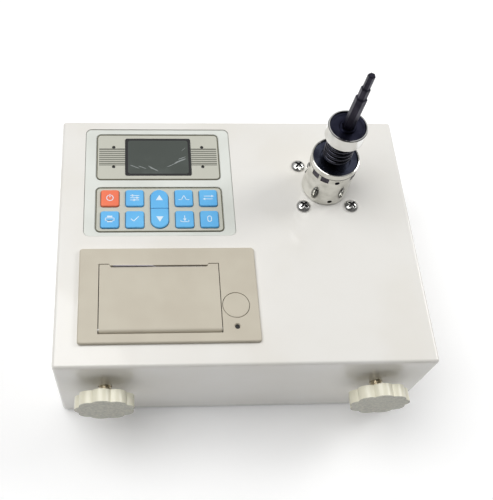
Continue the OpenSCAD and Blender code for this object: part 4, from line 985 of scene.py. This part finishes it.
def panel_holes(low):
    """Cutters for the keys and the lamps."""
    high = PANEL_FACE + OVERCUT
    holes = [oval("oval_hole", KEY_GAP, low, high)]
    width, depth, corner = KEY_WIDTH + 2 * KEY_GAP, KEY_DEPTH + 2 * KEY_GAP, KEY_RADIUS + KEY_GAP
    for column in (-2, -1, 1, 2):
        for row in (-1, 1):
            holes.append(slab("key_hole", *key_spot(column, row), width, depth, corner, low, high, 4))
    for x, y in lamp_spots():
        holes.append(post("lamp_hole", x, y, LAMP_RADIUS + CLOSE_FIT, low, high, sides=32))
    return holes


def make_panel():
    """Silver frame with two sunk fields, the film-covered plates in them, and the display's glass."""
    low, high = PANEL_LOW - OVERCUT, PANEL_FACE + OVERCUT
    width, depth = PANEL_WIDTH - 2 * PANEL_FIT, PANEL_DEPTH - 2 * PANEL_FIT
    panel = slab("panel_frame_face", PANEL_X, PANEL_Y, width, depth, PANEL_RADIUS - PANEL_FIT,
                 PANEL_LOW, PANEL_FACE, 8)
    width, depth = PANEL_WIDTH + 2 * PANEL_FLANGE, PANEL_DEPTH + 2 * PANEL_FLANGE
    flange = slab("flange", PANEL_X, PANEL_Y, width, depth, PANEL_RADIUS, PANEL_LOW, CASE_HEIGHT - SHEET, 8)
    melt(panel, flange)
    fields = ((DISPLAY_Y, DISPLAY_WIDTH, DISPLAY_DEPTH), (FIELD_Y, FIELD_WIDTH, FIELD_DEPTH))
    bottom = PANEL_FACE - INLAY_SINK
    for y, width, depth in fields:
        cut(panel, slab("field", PANEL_X, y, width + 2 * INLAY_LINE, depth + 2 * INLAY_LINE,
                        INLAY_RADIUS + INLAY_LINE, bottom, high))
    width, depth = WINDOW_WIDTH + 2 * HOLE_SPARE, WINDOW_DEPTH + 2 * HOLE_SPARE
    cut(
        panel,
        slab("window_seat", PANEL_X, DISPLAY_Y, width, depth, WINDOW_RADIUS, PANEL_FACE - GLASS_THICK, high),
        slab("window_hole", PANEL_X, DISPLAY_Y, WINDOW_WIDTH - 2 * WINDOW_LEDGE,
             WINDOW_DEPTH - 2 * WINDOW_LEDGE, WINDOW_RADIUS, low, high),
        *panel_holes(low),
    )
    smooth(soften(panel, PANEL_EASE, angle=40))
    fit(panel, "case", panel_silver, "panel_silver", "panel_frame")

    plates = [slab("inlay_plates", PANEL_X, *field, INLAY_RADIUS, bottom, PANEL_FACE) for field in fields]
    inlay = melt(*plates)
    cut(
        inlay,
        slab("window_gap", PANEL_X, DISPLAY_Y, width, depth, WINDOW_RADIUS, low, high),
        *panel_holes(low),
    )
    smooth(soften(inlay, INLAY_EASE, angle=40))
    fit(inlay, "case", inlay_film, "inlay_film", "panel_inlays")

    window = slab("display_glass", PANEL_X, DISPLAY_Y, WINDOW_WIDTH, WINDOW_DEPTH, WINDOW_RADIUS - HOLE_SPARE,
                  PANEL_FACE - GLASS_THICK, PANEL_FACE)
    smooth(soften(window, INLAY_EASE))
    fit(window, "case", display_glass, "window_glass", "display_window")


def make_lamps():
    """Four small lenses with domed tips, on wider bodies under the frame."""
    shoulder = PANEL_LOW - PANEL_FIT
    rings = [(LAMP_BODY, LAMP_LOW), (LAMP_BODY, shoulder), (LAMP_RADIUS, shoulder)]
    rings += [(LAMP_RADIUS * share, LAMP_TOP - drop) for share, drop in LENS_CURVE]
    (x, y), *others = lamp_spots()
    lamp = turned("lamp_lenses", x, y, rings, sides=24)
    join(lamp, *[copy_of(lamp, "lamp_twin", (other_x - x, other_y - y, 0)) for other_x, other_y in others])
    smooth(lamp, angle=45)
    fit(lamp, "case", black_plastic, "black_plastic", "indicator_lamps")


def bar(x, y, length, width=PRINT_LINE, turn=0):
    """A thin bar of print on the keys' tops, seen from above."""
    low = (x - length / 2, y - width / 2, KEY_TOP)
    high = (x + length / 2, y + width / 2, KEY_TOP + PRINT_HEIGHT)
    return block("print_bar", low, high, turn)


def loop(x, y, radius, wide=PRINT_LINE, sides=24):
    """A thin printed ring."""
    ring = post("print_ring", x, y, radius, KEY_TOP, KEY_TOP + PRINT_HEIGHT, sides)
    return cut(ring, post("print_hole", x, y, radius - wide, KEY_TOP - OVERCUT, KEY_TOP + OVERCUT, sides))


def wedge(x, y, radius, turn=0):
    """A thin printed triangle, pointing up before it is turned."""
    bpy.ops.object.select_all(action="DESELECT")
    bpy.ops.mesh.primitive_cylinder_add(
        vertices=3, radius=mm(radius), depth=mm(PRINT_HEIGHT), rotation=(0, 0, math.radians(turn)),
        location=spot(x, y, KEY_TOP + PRINT_HEIGHT / 2),
    )
    return name_new("print_wedge")


# Each of these draws a key's pictogram round a middle and gives its loose shapes


def power_shapes(x, y):
    gap = block("print_gap", (x - 0.8, y, KEY_TOP - OVERCUT), (x + 0.8, y + 4, KEY_TOP + OVERCUT))
    return [cut(loop(x, y, 2.4, BOLD_LINE), gap), bar(x, y + 1.7, BOLD_LINE, 2.6)]


def set_shapes(x, y):
    lines = [bar(x, y + dy, 6) for dy in (-1.7, 0, 1.7)]
    return lines + [loop(x + dx, y + dy, 0.8, sides=16) for dx, dy in ((-1.4, 1.7), (1.5, 0), (-0.4, -1.7))]


def up_shapes(x, y):
    return [wedge(x, y - 0.6, 2.7)]


def down_shapes(x, y):
    return [wedge(x, y + 0.6, 2.7, 180)]


def peak_shapes(x, y):
    return [bar(x - 2.6, y - 1.6, 2), bar(x - 0.85, y, 3.6, turn=65), bar(x + 0.85, y, 3.6, turn=-65),
            bar(x + 2.6, y - 1.6, 2)]


def unit_shapes(x, y):
    return [bar(x - 0.4, y + 1.1, 5), wedge(x + 2.6, y + 1.1, 1.1, -90), bar(x + 0.4, y - 1.1, 5),
            wedge(x - 2.6, y - 1.1, 1.1, 90)]


def printer_shapes(x, y):
    sides = [bar(x + dx, y - 0.1, PRINT_LINE, 2) for dx in (-2.8, 2.8)]
    paper = [bar(x, y + 2, 3.4, 1.2), bar(x, y - 1.6, 3.4, 1.4)]
    return [bar(x, y + 0.9, 6), bar(x, y - 1.1, 6), *sides, *paper]


def check_shapes(x, y):
    return [bar(x - 1.7, y - 0.6, 2.4, 0.55, -45), bar(x + 0.9, y + 0.2, 4.8, 0.55, 48)]


def save_shapes(x, y):
    tray = [bar(x, y - 2.2, 5.6)] + [bar(x + dx, y - 1.6, PRINT_LINE, 1.4) for dx in (-2.6, 2.6)]
    return [bar(x, y + 1.2, BOLD_LINE, 2.6), wedge(x, y - 0.4, 1.3, 180), *tray]


def zero_shapes(x, y):
    nought = slab("nought", x, y, 3, 4.6, 1.4, KEY_TOP, KEY_TOP + PRINT_HEIGHT)
    return [cut(nought, slab("nought_hole", x, y, 1.9, 3.5, 0.9, KEY_TOP - OVERCUT, KEY_TOP + OVERCUT))]


# The column and row of each key, and what draws its pictogram
KEYS = {
    "power": (-2, 1, power_shapes),
    "set": (-1, 1, set_shapes),
    "peak": (1, 1, peak_shapes),
    "unit": (2, 1, unit_shapes),
    "up": (0, 1, up_shapes),
    "print": (-2, -1, printer_shapes),
    "check": (-1, -1, check_shapes),
    "save": (1, -1, save_shapes),
    "zero": (2, -1, zero_shapes),
    "down": (0, -1, down_shapes),
}


def make_square_key():
    """A square key with a soft crown, its lip and its plunger, at the middle of the field."""
    key = slab("square_key", PANEL_X, FIELD_Y, KEY_WIDTH, KEY_DEPTH, KEY_RADIUS, KEY_LIP_TOP, KEY_TOP, 5)
    round_edges(key, is_at(KEY_TOP), KEY_CROWN, 4)
    width, depth = KEY_WIDTH + 2 * KEY_LIP, KEY_DEPTH + 2 * KEY_LIP
    lip = slab("key_lip", PANEL_X, FIELD_Y, width, depth, KEY_RADIUS, KEY_LOW, KEY_LIP_TOP)
    plunger = post("key_plunger", PANEL_X, FIELD_Y, PLUNGER_RADIUS, PLUNGER_LOW, KEY_LOW, sides=32)
    join(key, soften(lip, LIP_EASE), plunger)
    return smooth(key, angle=40)


def make_oval_key():
    """The upper half of the oval key."""
    key = oval("oval_half", 0, KEY_LIP_TOP, KEY_TOP)
    lip = oval("oval_lip", KEY_LIP, KEY_LOW, KEY_LIP_TOP)
    split = FIELD_Y + OVAL_SPLIT / 2
    for half in (key, lip):
        low = (PANEL_X - OVAL_WIDTH, FIELD_Y - OVAL_LENGTH, KEY_LOW - OVERCUT)
        cut(half, block("lower_half", low, (PANEL_X + OVAL_WIDTH, split, KEY_TOP + OVERCUT)))
    is_on_top = is_at(KEY_TOP)
    round_edges(key, lambda a, b: is_on_top(a, b) and max(a.y, b.y) > split + PICK, KEY_CROWN, 4)
    plunger = post("oval_plunger", *key_spot(0, 1), PLUNGER_RADIUS, PLUNGER_LOW, KEY_LOW, sides=32)
    join(key, lip, plunger)
    return smooth(key, angle=40)


def make_keys():
    """Ten keys from two shapes, each with its white pictogram."""
    square = make_square_key()
    upper = make_oval_key()
    for name, (column, row, draw) in KEYS.items():
        x, y = key_spot(column, row)
        if column:
            cap = copy_of(square, name + "_cap", (x - PANEL_X, y - FIELD_Y, 0))
        else:
            cap = copy_of(upper, name + "_cap", turn=0 if row > 0 else 180, about=(PANEL_X, FIELD_Y))
        colour, slot = (orange_key, "key_orange") if name == "power" else (blue_key, "key_blue")
        fit(cap, name + "_key", colour, slot, "key_" + name)
        first, *others = draw(x, y)
        pictogram = join(first, *others)
        pictogram.name = name + "_print"
        fit(pictogram, name + "_key", print_white, slot)
    bpy.data.objects.remove(square)
    bpy.data.objects.remove(upper)


# Printer


def make_bezel():
    """Bezel with rounded upper edges, the door's opening, the button's hole and the lamp's countersink."""
    bezel = block("bezel_frame", (BEZEL_X, BEZEL_Y, CASE_HEIGHT),
                  (BEZEL_X + BEZEL_WIDTH, BEZEL_Y + BEZEL_DEPTH, BEZEL_TOP))
    round_edges(bezel, is_upright, BEZEL_CORNER, 6)
    round_edges(bezel, is_at(BEZEL_TOP), BEZEL_BEVEL, 5)
    low, high = CASE_HEIGHT - OVERCUT, BEZEL_TOP + OVERCUT
    left, right, back = DOOR_LEFT - DOOR_GAP, DOOR_RIGHT + DOOR_GAP, DOOR_BACK + DOOR_GAP
    middle = (DOOR_LEFT + DOOR_RIGHT) / 2
    cone = [(FEED_LAMP_RADIUS, BEZEL_TOP - COUNTERSINK),
            (FEED_LAMP_RADIUS + 2 * COUNTERSINK, BEZEL_TOP + COUNTERSINK)]
    cut(
        bezel,
        block("door_hole", (left, DOOR_FRONT - DOOR_FRONT_GAP, low), (right, SLOT_BACK, high)),
        block("left_notch", (left, SLOT_BACK - OVERCUT, low), (SLOT_LEFT, back, high)),
        block("right_notch", (SLOT_RIGHT, SLOT_BACK - OVERCUT, low), (right, back, high)),
        rod("pin_groove", "x", (middle, HINGE_Y, CASE_HEIGHT), PIN_GROOVE_RADIUS, PIN_GROOVE_LENGTH),
        post("button_hole", BUTTON_X, BUTTON_Y, BUTTON_RADIUS + BUTTON_GAP, low, high, sides=96),
        post("lamp_hole", FEED_LAMP_X, FEED_LAMP_Y, FEED_LAMP_RADIUS + CLOSE_FIT, low, high, sides=32),
        turned("countersink", FEED_LAMP_X, FEED_LAMP_Y, cone, sides=32),
    )
    smooth(soften(bezel, BEZEL_EASE, angle=50))
    fit(bezel, "case", beige, "printer_beige", "printer_bezel")


def make_door():
    """Door with slanted corners at the slot, its hinge knuckle, the ears of the platen and the catch tab."""
    door = block("door_leaf", (DOOR_LEFT, HINGE_Y, CASE_HEIGHT), (DOOR_RIGHT, DOOR_BACK, BEZEL_TOP))
    slot = block("slot_cut", (SLOT_LEFT, SLOT_FRONT, CASE_HEIGHT - OVERCUT),
                 (SLOT_RIGHT, DOOR_BACK + OVERCUT, BEZEL_TOP + OVERCUT))
    round_edges(slot, lambda a, b: is_upright(a, b) and a.y < SLOT_FRONT + PICK, SLOT_CORNER, 1)
    cut(door, slot)
    middle = (DOOR_LEFT + DOOR_RIGHT) / 2
    width = DOOR_RIGHT - DOOR_LEFT
    top = BEZEL_TOP - DOOR_SKIN
    melt(door, rod("knuckle", "x", (middle, HINGE_Y, CASE_HEIGHT), KNUCKLE_RADIUS, width))
    for x in (EAR_LEFT, EAR_RIGHT):
        melt(door, block("ear", (x, PLATEN_Y - EAR_HALF, EAR_LOW), (x + EAR_THICK, PLATEN_Y + EAR_HALF, top)))
    low = (DOOR_RIGHT - TAB_THICK, BUTTON_Y - TAB_HALF, TAB_LOW)
    melt(door, block("tab", low, (DOOR_RIGHT, BUTTON_Y + TAB_HALF, top)))
    through = width + 2 * OVERCUT
    cut(
        door,
        rod("pin_bore", "x", (middle, HINGE_Y, CASE_HEIGHT), PIN_RADIUS + CLOSE_FIT, through, sides=32),
        rod("shaft_bore", "x", (middle, PLATEN_Y, PLATEN_Z), SHAFT_BORE, through, sides=32),
    )
    smooth(soften(door, DOOR_EASE, 3, 50))
    fit(door, "door", beige, "printer_beige", "printer_door")


def make_button():
    """Round release button: a slightly dished cap on its holding bar, with stem and nose."""
    rings = [(NOSE_RADIUS, NOSE_LOW), (NOSE_RADIUS, STEM_LOW), (STEM_RADIUS, STEM_LOW),
             (STEM_RADIUS, BUTTON_LOW), (BUTTON_RADIUS, BUTTON_LOW)]
    rings += [(BUTTON_RADIUS - inset, BEZEL_TOP - drop) for inset, drop in BUTTON_RIM]
    rings += [(BUTTON_RADIUS * share, BEZEL_TOP - drop) for share, drop in BUTTON_DISH]
    button = turned("button_cap", BUTTON_X, BUTTON_Y, rings)
    melt(button, slab("button_bar", BUTTON_X, BUTTON_Y, BUTTON_BAR_WIDTH, BUTTON_BAR_LENGTH,
                      BUTTON_BAR_CORNER, BUTTON_LOW, BUTTON_BAR_TOP))
    smooth(button)
    fit(button, "button", beige, "printer_beige", "release_button")


# Torque head


def make_flange_screws():
    """Four domed screws with a cross recess."""
    rings = [(SCREW_THREAD, SCREW_LOW), (SCREW_THREAD, CASE_HEIGHT), (SCREW_RADIUS - SCREW_EASE, CASE_HEIGHT),
             (SCREW_RADIUS, CASE_HEIGHT + SCREW_EASE)]
    ball = SCREW_RADIUS * DOME_SHARE
    top = CASE_HEIGHT + SCREW_HEIGHT
    for step in range(1, DOME_STEPS):
        z = CASE_HEIGHT + SCREW_EASE + (SCREW_HEIGHT - SCREW_EASE) * math.sin(step / DOME_STEPS * math.pi / 2)
        radius = math.sqrt(max(ball ** 2 - (z - top + ball) ** 2, DOME_TIP ** 2))
        rings.append((min(SCREW_RADIUS, radius), z))
    (x, y), *others = screw_spots()
    screw = turned("cross_screws", x, y, rings, sides=48)
    low = (x - CROSS_LENGTH / 2, y - CROSS_WIDTH / 2, CASE_HEIGHT + SCREW_HEIGHT / 3)
    high = (x + CROSS_LENGTH / 2, y + CROSS_WIDTH / 2, top + OVERCUT)
    for turn in (45, 135):
        cut(screw, block("cross", low, high, turn))
    soften(screw, CROSS_EASE, angle=40)
    join(screw, *[copy_of(screw, "screw_twin", (other_x - x, other_y - y, 0)) for other_x, other_y in others])
    smooth(screw, angle=35)
    fit(screw, "case", cross_steel, "bright_steel", "flange_screws")


def face_out(piece, turn):
    """Turns a cutter that was drawn at the front of the torque axis round it."""
    piece.data.transform(turn_about(spot(HEAD_X, HEAD_Y, 0), turn, "Z"))
    return piece


def set_hole(z, inner, turn):
    """Cutter for a set screw, from outside the cup to some distance from its axis."""
    middle = (HEAD_X, HEAD_Y - (SET_OUTER + inner) / 2, z)
    return face_out(rod("set_hole", "y", middle, SET_RADIUS, SET_OUTER - inner, sides=32), turn)


def make_cup():
    """Chrome drive cup with its index marks, the fine groove over them and its set-screw holes."""
    rings = [(CUP_SHAFT, CUP_LOW), (CUP_RADIUS - CUP_BEVEL, CUP_LOW), (CUP_RADIUS, CUP_LOW + CUP_BEVEL),
             (CUP_RADIUS, CUP_HIGH - CUP_BEVEL), (CUP_RADIUS - CUP_BEVEL / 3, CUP_HIGH - CUP_BEVEL / 3),
             (CUP_RADIUS - CUP_BEVEL, CUP_HIGH), (CUP_BORE + CUP_LIP, CUP_HIGH),
             (CUP_BORE, CUP_HIGH - CUP_LIP), (CUP_BORE, CUP_FLOOR), (CUP_SHAFT, CUP_FLOOR)]
    cup = turned("chrome_cup", HEAD_X, HEAD_Y, rings, sides=128)
    tools = [post("shaft_hole", HEAD_X, HEAD_Y, CUP_SHAFT, CUP_LOW - OVERCUT, CUP_FLOOR + OVERCUT)]
    low = (HEAD_X - MARK_WIDTH / 2, HEAD_Y - CUP_RADIUS - OVERCUT, MARK_LOW)
    high = (HEAD_X + MARK_WIDTH / 2, HEAD_Y - CUP_RADIUS + MARK_DEPTH, MARK_HIGH)
    for side in range(4):
        for step in (-0.5, 0.5) if side % 2 == 0 else (0,):
            tools.append(face_out(block("mark", low, high), MARK_TURN + 90 * side + step * MARK_STEP))
    low, high = MARK_HIGH - RIM_LINE / 2, MARK_HIGH + RIM_LINE / 2
    groove = post("groove", HEAD_X, HEAD_Y, CUP_RADIUS + OVERCUT, low, high, sides=128)
    inside = post("groove_inside", HEAD_X, HEAD_Y, CUP_RADIUS - RIM_LINE, MARK_LOW, CUP_HIGH, sides=128)
    tools.append(cut(groove, inside))
    tools += [set_hole(SET_HIGH_Z, SET_HIGH_INNER, SET_TURN + 90 * index) for index in range(4)]
    tools += [set_hole(SET_LOW_Z, SET_LOW_INNER, SET_TURN + 90 * index) for index in range(2)]
    cut(cup, *tools)
    smooth(cup)
    fit(cup, "case", chrome_shaded_in_marks, "chrome", "drive_cup")


def make_core():
    """Dark core of the cup, with the pocket that seats the spring."""
    bore = BOLT_SHANK + CLOSE_FIT
    rings = [(bore, CUP_FLOOR), (CORE_RADIUS, CUP_FLOOR), (CORE_RADIUS, CORE_TOP - CORE_EASE),
             (CORE_RADIUS - CORE_EASE, CORE_TOP), (POCKET_RADIUS + POCKET_EASE, CORE_TOP),
             (POCKET_RADIUS, CORE_TOP - POCKET_EASE), (POCKET_RADIUS, POCKET_FLOOR), (bore, POCKET_FLOOR)]
    core = turned("dark_core", HEAD_X, HEAD_Y, rings)
    low, high = CUP_FLOOR - OVERCUT, POCKET_FLOOR + OVERCUT
    cut(core, post("thread_hole", HEAD_X, HEAD_Y, bore, low, high, sides=48))
    smooth(core, angle=35)
    fit(core, "case", blued, "blued_steel", "cup_core")


def make_coil(name, x, y, radius, wire, turns, low, high):
    """Round-wire spring between two seats, swept along its coil and closed at both ends."""
    seat = 1.5 * wire
    coil = bpy.data.curves.new(name, "CURVE")
    coil.dimensions = "3D"
    coil.bevel_depth = mm(wire / 2)
    coil.bevel_resolution = 4
    coil.use_fill_caps = True
    steps = int(28 * turns)
    points = [(0, low), (0, low + wire)]
    for step in range(steps + 1):
        share = step / steps
        points.append((360 * turns * share, low + seat + (high - low - 2 * seat) * share))
    points += [(360 * turns, high - wire), (360 * turns, high)]
    line = coil.splines.new("POLY")
    line.points.add(len(points) - 1)
    for point, (turn, z) in zip(line.points, points):
        angle = math.radians(turn)
        point.co = (*spot(x + radius * math.cos(angle), y + radius * math.sin(angle), z), 1)
    spring = bpy.data.objects.new(name, coil)
    bpy.context.scene.collection.objects.link(spring)
    work_on(spring)
    bpy.ops.object.convert(target="MESH")
    bpy.ops.object.mode_set(mode="EDIT")
    face_outwards()
    return smooth(spring, 60)


def make_springs():
    """The test joint's spring and the release button's."""
    spring = make_coil("coil_spring", HEAD_X, HEAD_Y, COIL_RADIUS, COIL_WIRE, COIL_TURNS,
                       POCKET_FLOOR, COIL_TOP)
    fit(spring, "case", spring_steel, "blued_steel", "joint_spring")
    spot(HEAD_X, HEAD_Y, POCKET_FLOOR)
    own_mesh(spring)
    spring = make_coil("button_coil", BUTTON_X, BUTTON_Y, BUTTON_COIL_RADIUS, BUTTON_WIRE, BUTTON_COIL_TURNS,
                       SHELF_TOP, BUTTON_LOW)
    fit(spring, "case", bright_steel, "bright_steel", "button_spring")
    spot(BUTTON_X, BUTTON_Y, SHELF_TOP)
    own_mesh(spring)


def hex_piece(name, levels):
    """A bar of hexagonal section from across-flats widths and heights."""
    rings = [(flats / math.sqrt(3), z) for flats, z in levels]
    return turned(name, HEAD_X, HEAD_Y, rings, sides=6)


def make_bolt():
    """Bolt: round head with a ridge and a ring, neck and shank, and a hexagonal socket."""
    head = COLLAR_BORE - CLOSE_FIT
    sunk = BOLT_HEAD_TOP - RIDGE_DROP
    rings = [(BOLT_SHANK - BOLT_EASE, BOLT_LOW), (BOLT_SHANK, BOLT_LOW + BOLT_EASE),
             (BOLT_SHANK, BOLT_NECK_LOW), (BOLT_NECK, BOLT_NECK_LOW), (BOLT_NECK, BOLT_HEAD_LOW),
             (head, BOLT_HEAD_LOW), (head, BOLT_HEAD_TOP - HEAD_EASE),
             (COLLAR_BORE - BOLT_EASE, BOLT_HEAD_TOP), (BOLT_RIDGE, BOLT_HEAD_TOP),
             (BOLT_RIDGE - RIDGE_EASE, sunk), (BOLT_RING, sunk),
             (BOLT_RING, BOLT_RING_TOP - RING_EASE), (BOLT_RING - RING_EASE, BOLT_RING_TOP)]
    bolt = turned("socket_bolt", HEAD_X, HEAD_Y, rings)
    cut(bolt, hex_piece("socket", [(SOCKET_FLATS, SOCKET_LOW), (SOCKET_FLATS, BOLT_RING_TOP + OVERCUT)]))
    smooth(bolt, angle=35)
    fit(bolt, "bolt", blued_with_collar_shade, "blued_steel", "joint_bolt")


def make_collar():
    """Chrome collar: a short tube with eased edges."""
    rings = [(COLLAR_BORE, COLLAR_LOW), (COLLAR_RADIUS - COLLAR_BEVEL, COLLAR_LOW),
             (COLLAR_RADIUS, COLLAR_LOW + COLLAR_BEVEL), (COLLAR_RADIUS, COLLAR_HIGH - COLLAR_BEVEL),
             (COLLAR_RADIUS - COLLAR_BEVEL, COLLAR_HIGH), (COLLAR_BORE, COLLAR_HIGH)]
    collar = turned("chrome_collar", HEAD_X, HEAD_Y, rings, sides=128)
    low, high = COLLAR_LOW - OVERCUT, COLLAR_HIGH + OVERCUT
    cut(collar, post("collar_bore", HEAD_X, HEAD_Y, COLLAR_BORE, low, high, sides=128))
    smooth(collar)
    fit(collar, "bolt", chrome, "chrome", "joint_collar")


def make_bit():
    """Stepped hexagonal bit, leaning a little to the right in its loose socket."""
    levels = [(BIT_FLATS - BIT_EASE, BIT_LOW), (BIT_FLATS, BIT_LOW + BIT_EASE / 2),
              (BIT_FLATS, BIT_MIDDLE - BIT_STEP), (BIT_MIDDLE_FLATS, BIT_MIDDLE),
              (BIT_MIDDLE_FLATS, BIT_TIP - BIT_TIP_STEP), (BIT_TIP_FLATS, BIT_TIP),
              (BIT_TIP_FLATS, BIT_END - BIT_EASE), (BIT_TIP_FLATS - BIT_TAPER, BIT_END)]
    bit = soften(hex_piece("stepped_bit", levels), BIT_SOFT, angle=35)
    bit.data.transform(turn_about(spot(HEAD_X, HEAD_Y, LEAN_Z), BIT_LEAN, "Y"))
    smooth(bit, angle=25)
    fit(bit, "bit", black_oxide, "blued_steel", "hex_bit")


# Screw feet


def make_knob(side, x, turn):
    """Star knob: a disc with nine round lobes and rounded edges, bored for its threaded stud."""
    middle, thick = (KNOB_FRONT + KNOB_BACK) / 2, KNOB_BACK - KNOB_FRONT
    knob = rod(side + "_star", "y", (x, middle, FOOT_Z), KNOB_DISC, thick, sides=72)
    reach = KNOB_RADIUS - LOBE_RADIUS
    for index in range(KNOB_LOBES):
        angle = math.radians(turn + 90 + index * 360 / KNOB_LOBES)
        place = (x + reach * math.cos(angle), middle, FOOT_Z + reach * math.sin(angle))
        melt(knob, rod("lobe", "y", place, LOBE_RADIUS, thick, sides=40))
    back = KNOB_BACK + OVERCUT
    place = (x, (KNOB_BORE_FRONT + back) / 2, FOOT_Z)
    cut(knob, rod("stud_bore", "y", place, STUD_RADIUS + KNOB_BORE_FIT, back - KNOB_BORE_FRONT, sides=48))
    soften(knob, KNOB_ROUND, 4, 60)
    smooth(knob, angle=35)
    fit(knob, "knob_" + side, knob_cream, "knob_cream", side + "_knob")


def make_stud(side, x):
    """Stud with the crests of its thread, turned upright and then laid along y."""
    length = STUD_END - STUD_FRONT
    rings = [(STUD_TIP, 0)]
    for index in range(int(length / THREAD_PITCH)):
        rings += [(STUD_RADIUS - sunk, index * THREAD_PITCH + rise) for sunk, rise in THREAD_SHAPE]
    rings.append((STUD_TIP, length))
    stud = turned(side + "_screw", 0, 0, rings, sides=48)
    laid = Matrix.Rotation(-math.pi / 2, 4, "X") @ Matrix.Translation(-spot(0, 0, 0))
    stud.data.transform(Matrix.Translation(spot(x, STUD_FRONT, FOOT_Z)) @ laid)
    smooth(stud, angle=40)
    fit(stud, "stud_" + side, plated_steel, "bright_steel", side + "_stud")


make_cover()
make_panel()
make_lamps()
make_keys()
make_bezel()
make_door()
make_button()
make_flange_screws()
make_cup()
make_core()
make_springs()
make_bolt()
make_collar()
make_bit()
make_knob("left", FOOT_LEFT, 6)
make_knob("right", FOOT_RIGHT, 4)
make_stud("left", FOOT_LEFT)
make_stud("right", FOOT_RIGHT)

# Finishes of the nodes whose own shape is shown
NODE_FINISHES = {
    zinc: ("base_plate", "weld_nuts"),
    pad_rubber: ("rubber_pads", "platen_roller"),
    black_plastic: ("display_module", "key_switches", "feed_lamp", "buzzer", "charge_jack"),
    circuit_board: ("key_board", "main_board"),
    housing_grey_and_gap_shade: ("printer_housing",),
    white_plastic: ("platen_gear", "idler_gear", "release_lever"),
    bright_steel: ("base_screws", "door_pin", "platen_shaft", "feed_motor", "usb_socket"),
    brass: ("motor_pinion", "standoffs"),
    aluminium: ("print_head", "torque_cell"),
    paper: ("paper_roll", "paper_strip"),
    black_oxide: ("cup_set_screws", "spring_seat"),
    battery_wrap: ("battery_pack",),
}
for finish, names in NODE_FINISHES.items():
    for name in names:
        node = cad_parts[name]
        node.data.materials.clear()
        node.data.materials.append(finish)


# Studio


def make_floor():
    bpy.ops.object.select_all(action="DESELECT")
    bpy.ops.mesh.primitive_plane_add(size=FLOOR_SIDE, location=(0, 0, -FLOOR_DROP))
    floor = name_new("studio_floor")
    white = Finish("white studio floor", roughness=0.8, emission_strength=FLOOR_GLOW)
    white.set(
        base_color=white.mix(white.grain(3, 2), (0.94, 0.94, 0.94, 1), (0.92, 0.92, 0.92, 1)),
        emission_color=white.mix(white.grain(3, 2), (1, 1, 1, 1), (0.97, 0.97, 0.97, 1)),
    )
    floor.data.materials.append(white.material)


def make_light(name, place, aim, size, power):
    lamp = bpy.data.lights.new(name, "AREA")
    lamp.shape = "DISK"
    lamp.size = size
    lamp.energy = power
    light = bpy.data.objects.new(name, lamp)
    light.location = place
    light.rotation_euler = (Vector(aim) - Vector(place)).to_track_quat("-Z", "Y").to_euler()
    bpy.context.scene.collection.objects.link(light)


def make_camera():
    """Camera solved from the case's and the printer's corners in the photograph."""
    camera = bpy.data.cameras.new("camera")
    camera.sensor_width = SENSOR
    longer = max(PICTURE_WIDTH, PICTURE_HEIGHT)
    camera.lens = FOCAL_PIXELS / longer * SENSOR
    camera.shift_x = (PICTURE_WIDTH / 2 - CENTRE_COLUMN) / longer
    camera.shift_y = (CENTRE_ROW - PICTURE_HEIGHT / 2) / longer
    camera.clip_start = 0.01
    eye = bpy.data.objects.new("camera", camera)
    right = EYE_RIGHT.normalized()
    back = -(EYE_AHEAD - EYE_AHEAD.dot(right) * right).normalized()
    up = back.cross(right)
    turning = Matrix((right, up, back)).transposed().to_4x4()
    eye.matrix_world = Matrix.Translation(spot(*EYE)) @ turning
    bpy.context.scene.collection.objects.link(eye)
    bpy.context.scene.camera = eye


def make_sky():
    """White overhead and behind, pale along the horizon, and dark in front and round the photographer."""
    world = bpy.data.worlds.new("studio")
    sky = Sheet(world)
    towards = sky.node("ShaderNodeTexCoord")
    apart = sky.node("ShaderNodeSeparateXYZ", sockets={0: towards}).socket.node
    x, y, z = (Wire(sky, output) for output in apart.outputs)
    high = z.ease(0.0, 0.8)
    behind = y.ease(-0.5, 0.4)
    viewer = (VIEWER[0] * x + VIEWER[1] * y + VIEWER[2] * z).ease(0.9, 0.97)
    band = HORIZON * (1 - z.ease(0.06, 0.2))
    light = (SKY_LOW + (SKY_HIGH - SKY_LOW) * high * behind) * (1 - 0.9 * viewer) + band
    sky.feed(sky.nodes["Background"].inputs["Strength"], light)
    sky.nodes["Background"].inputs["Color"].default_value = (1, 1, 1, 1)
    bpy.context.scene.world = world


make_floor()
make_light("key_light", place=(-0.5, 0.06, 1.2), aim=(0, 0, 0.05), size=1.1, power=11)
make_light("right_light", place=(0.85, 0.3, 0.7), aim=(0.05, 0.03, 0.1), size=0.45, power=4)
make_sky()
make_camera()
bpy.context.scene.view_settings.view_transform = "Standard"
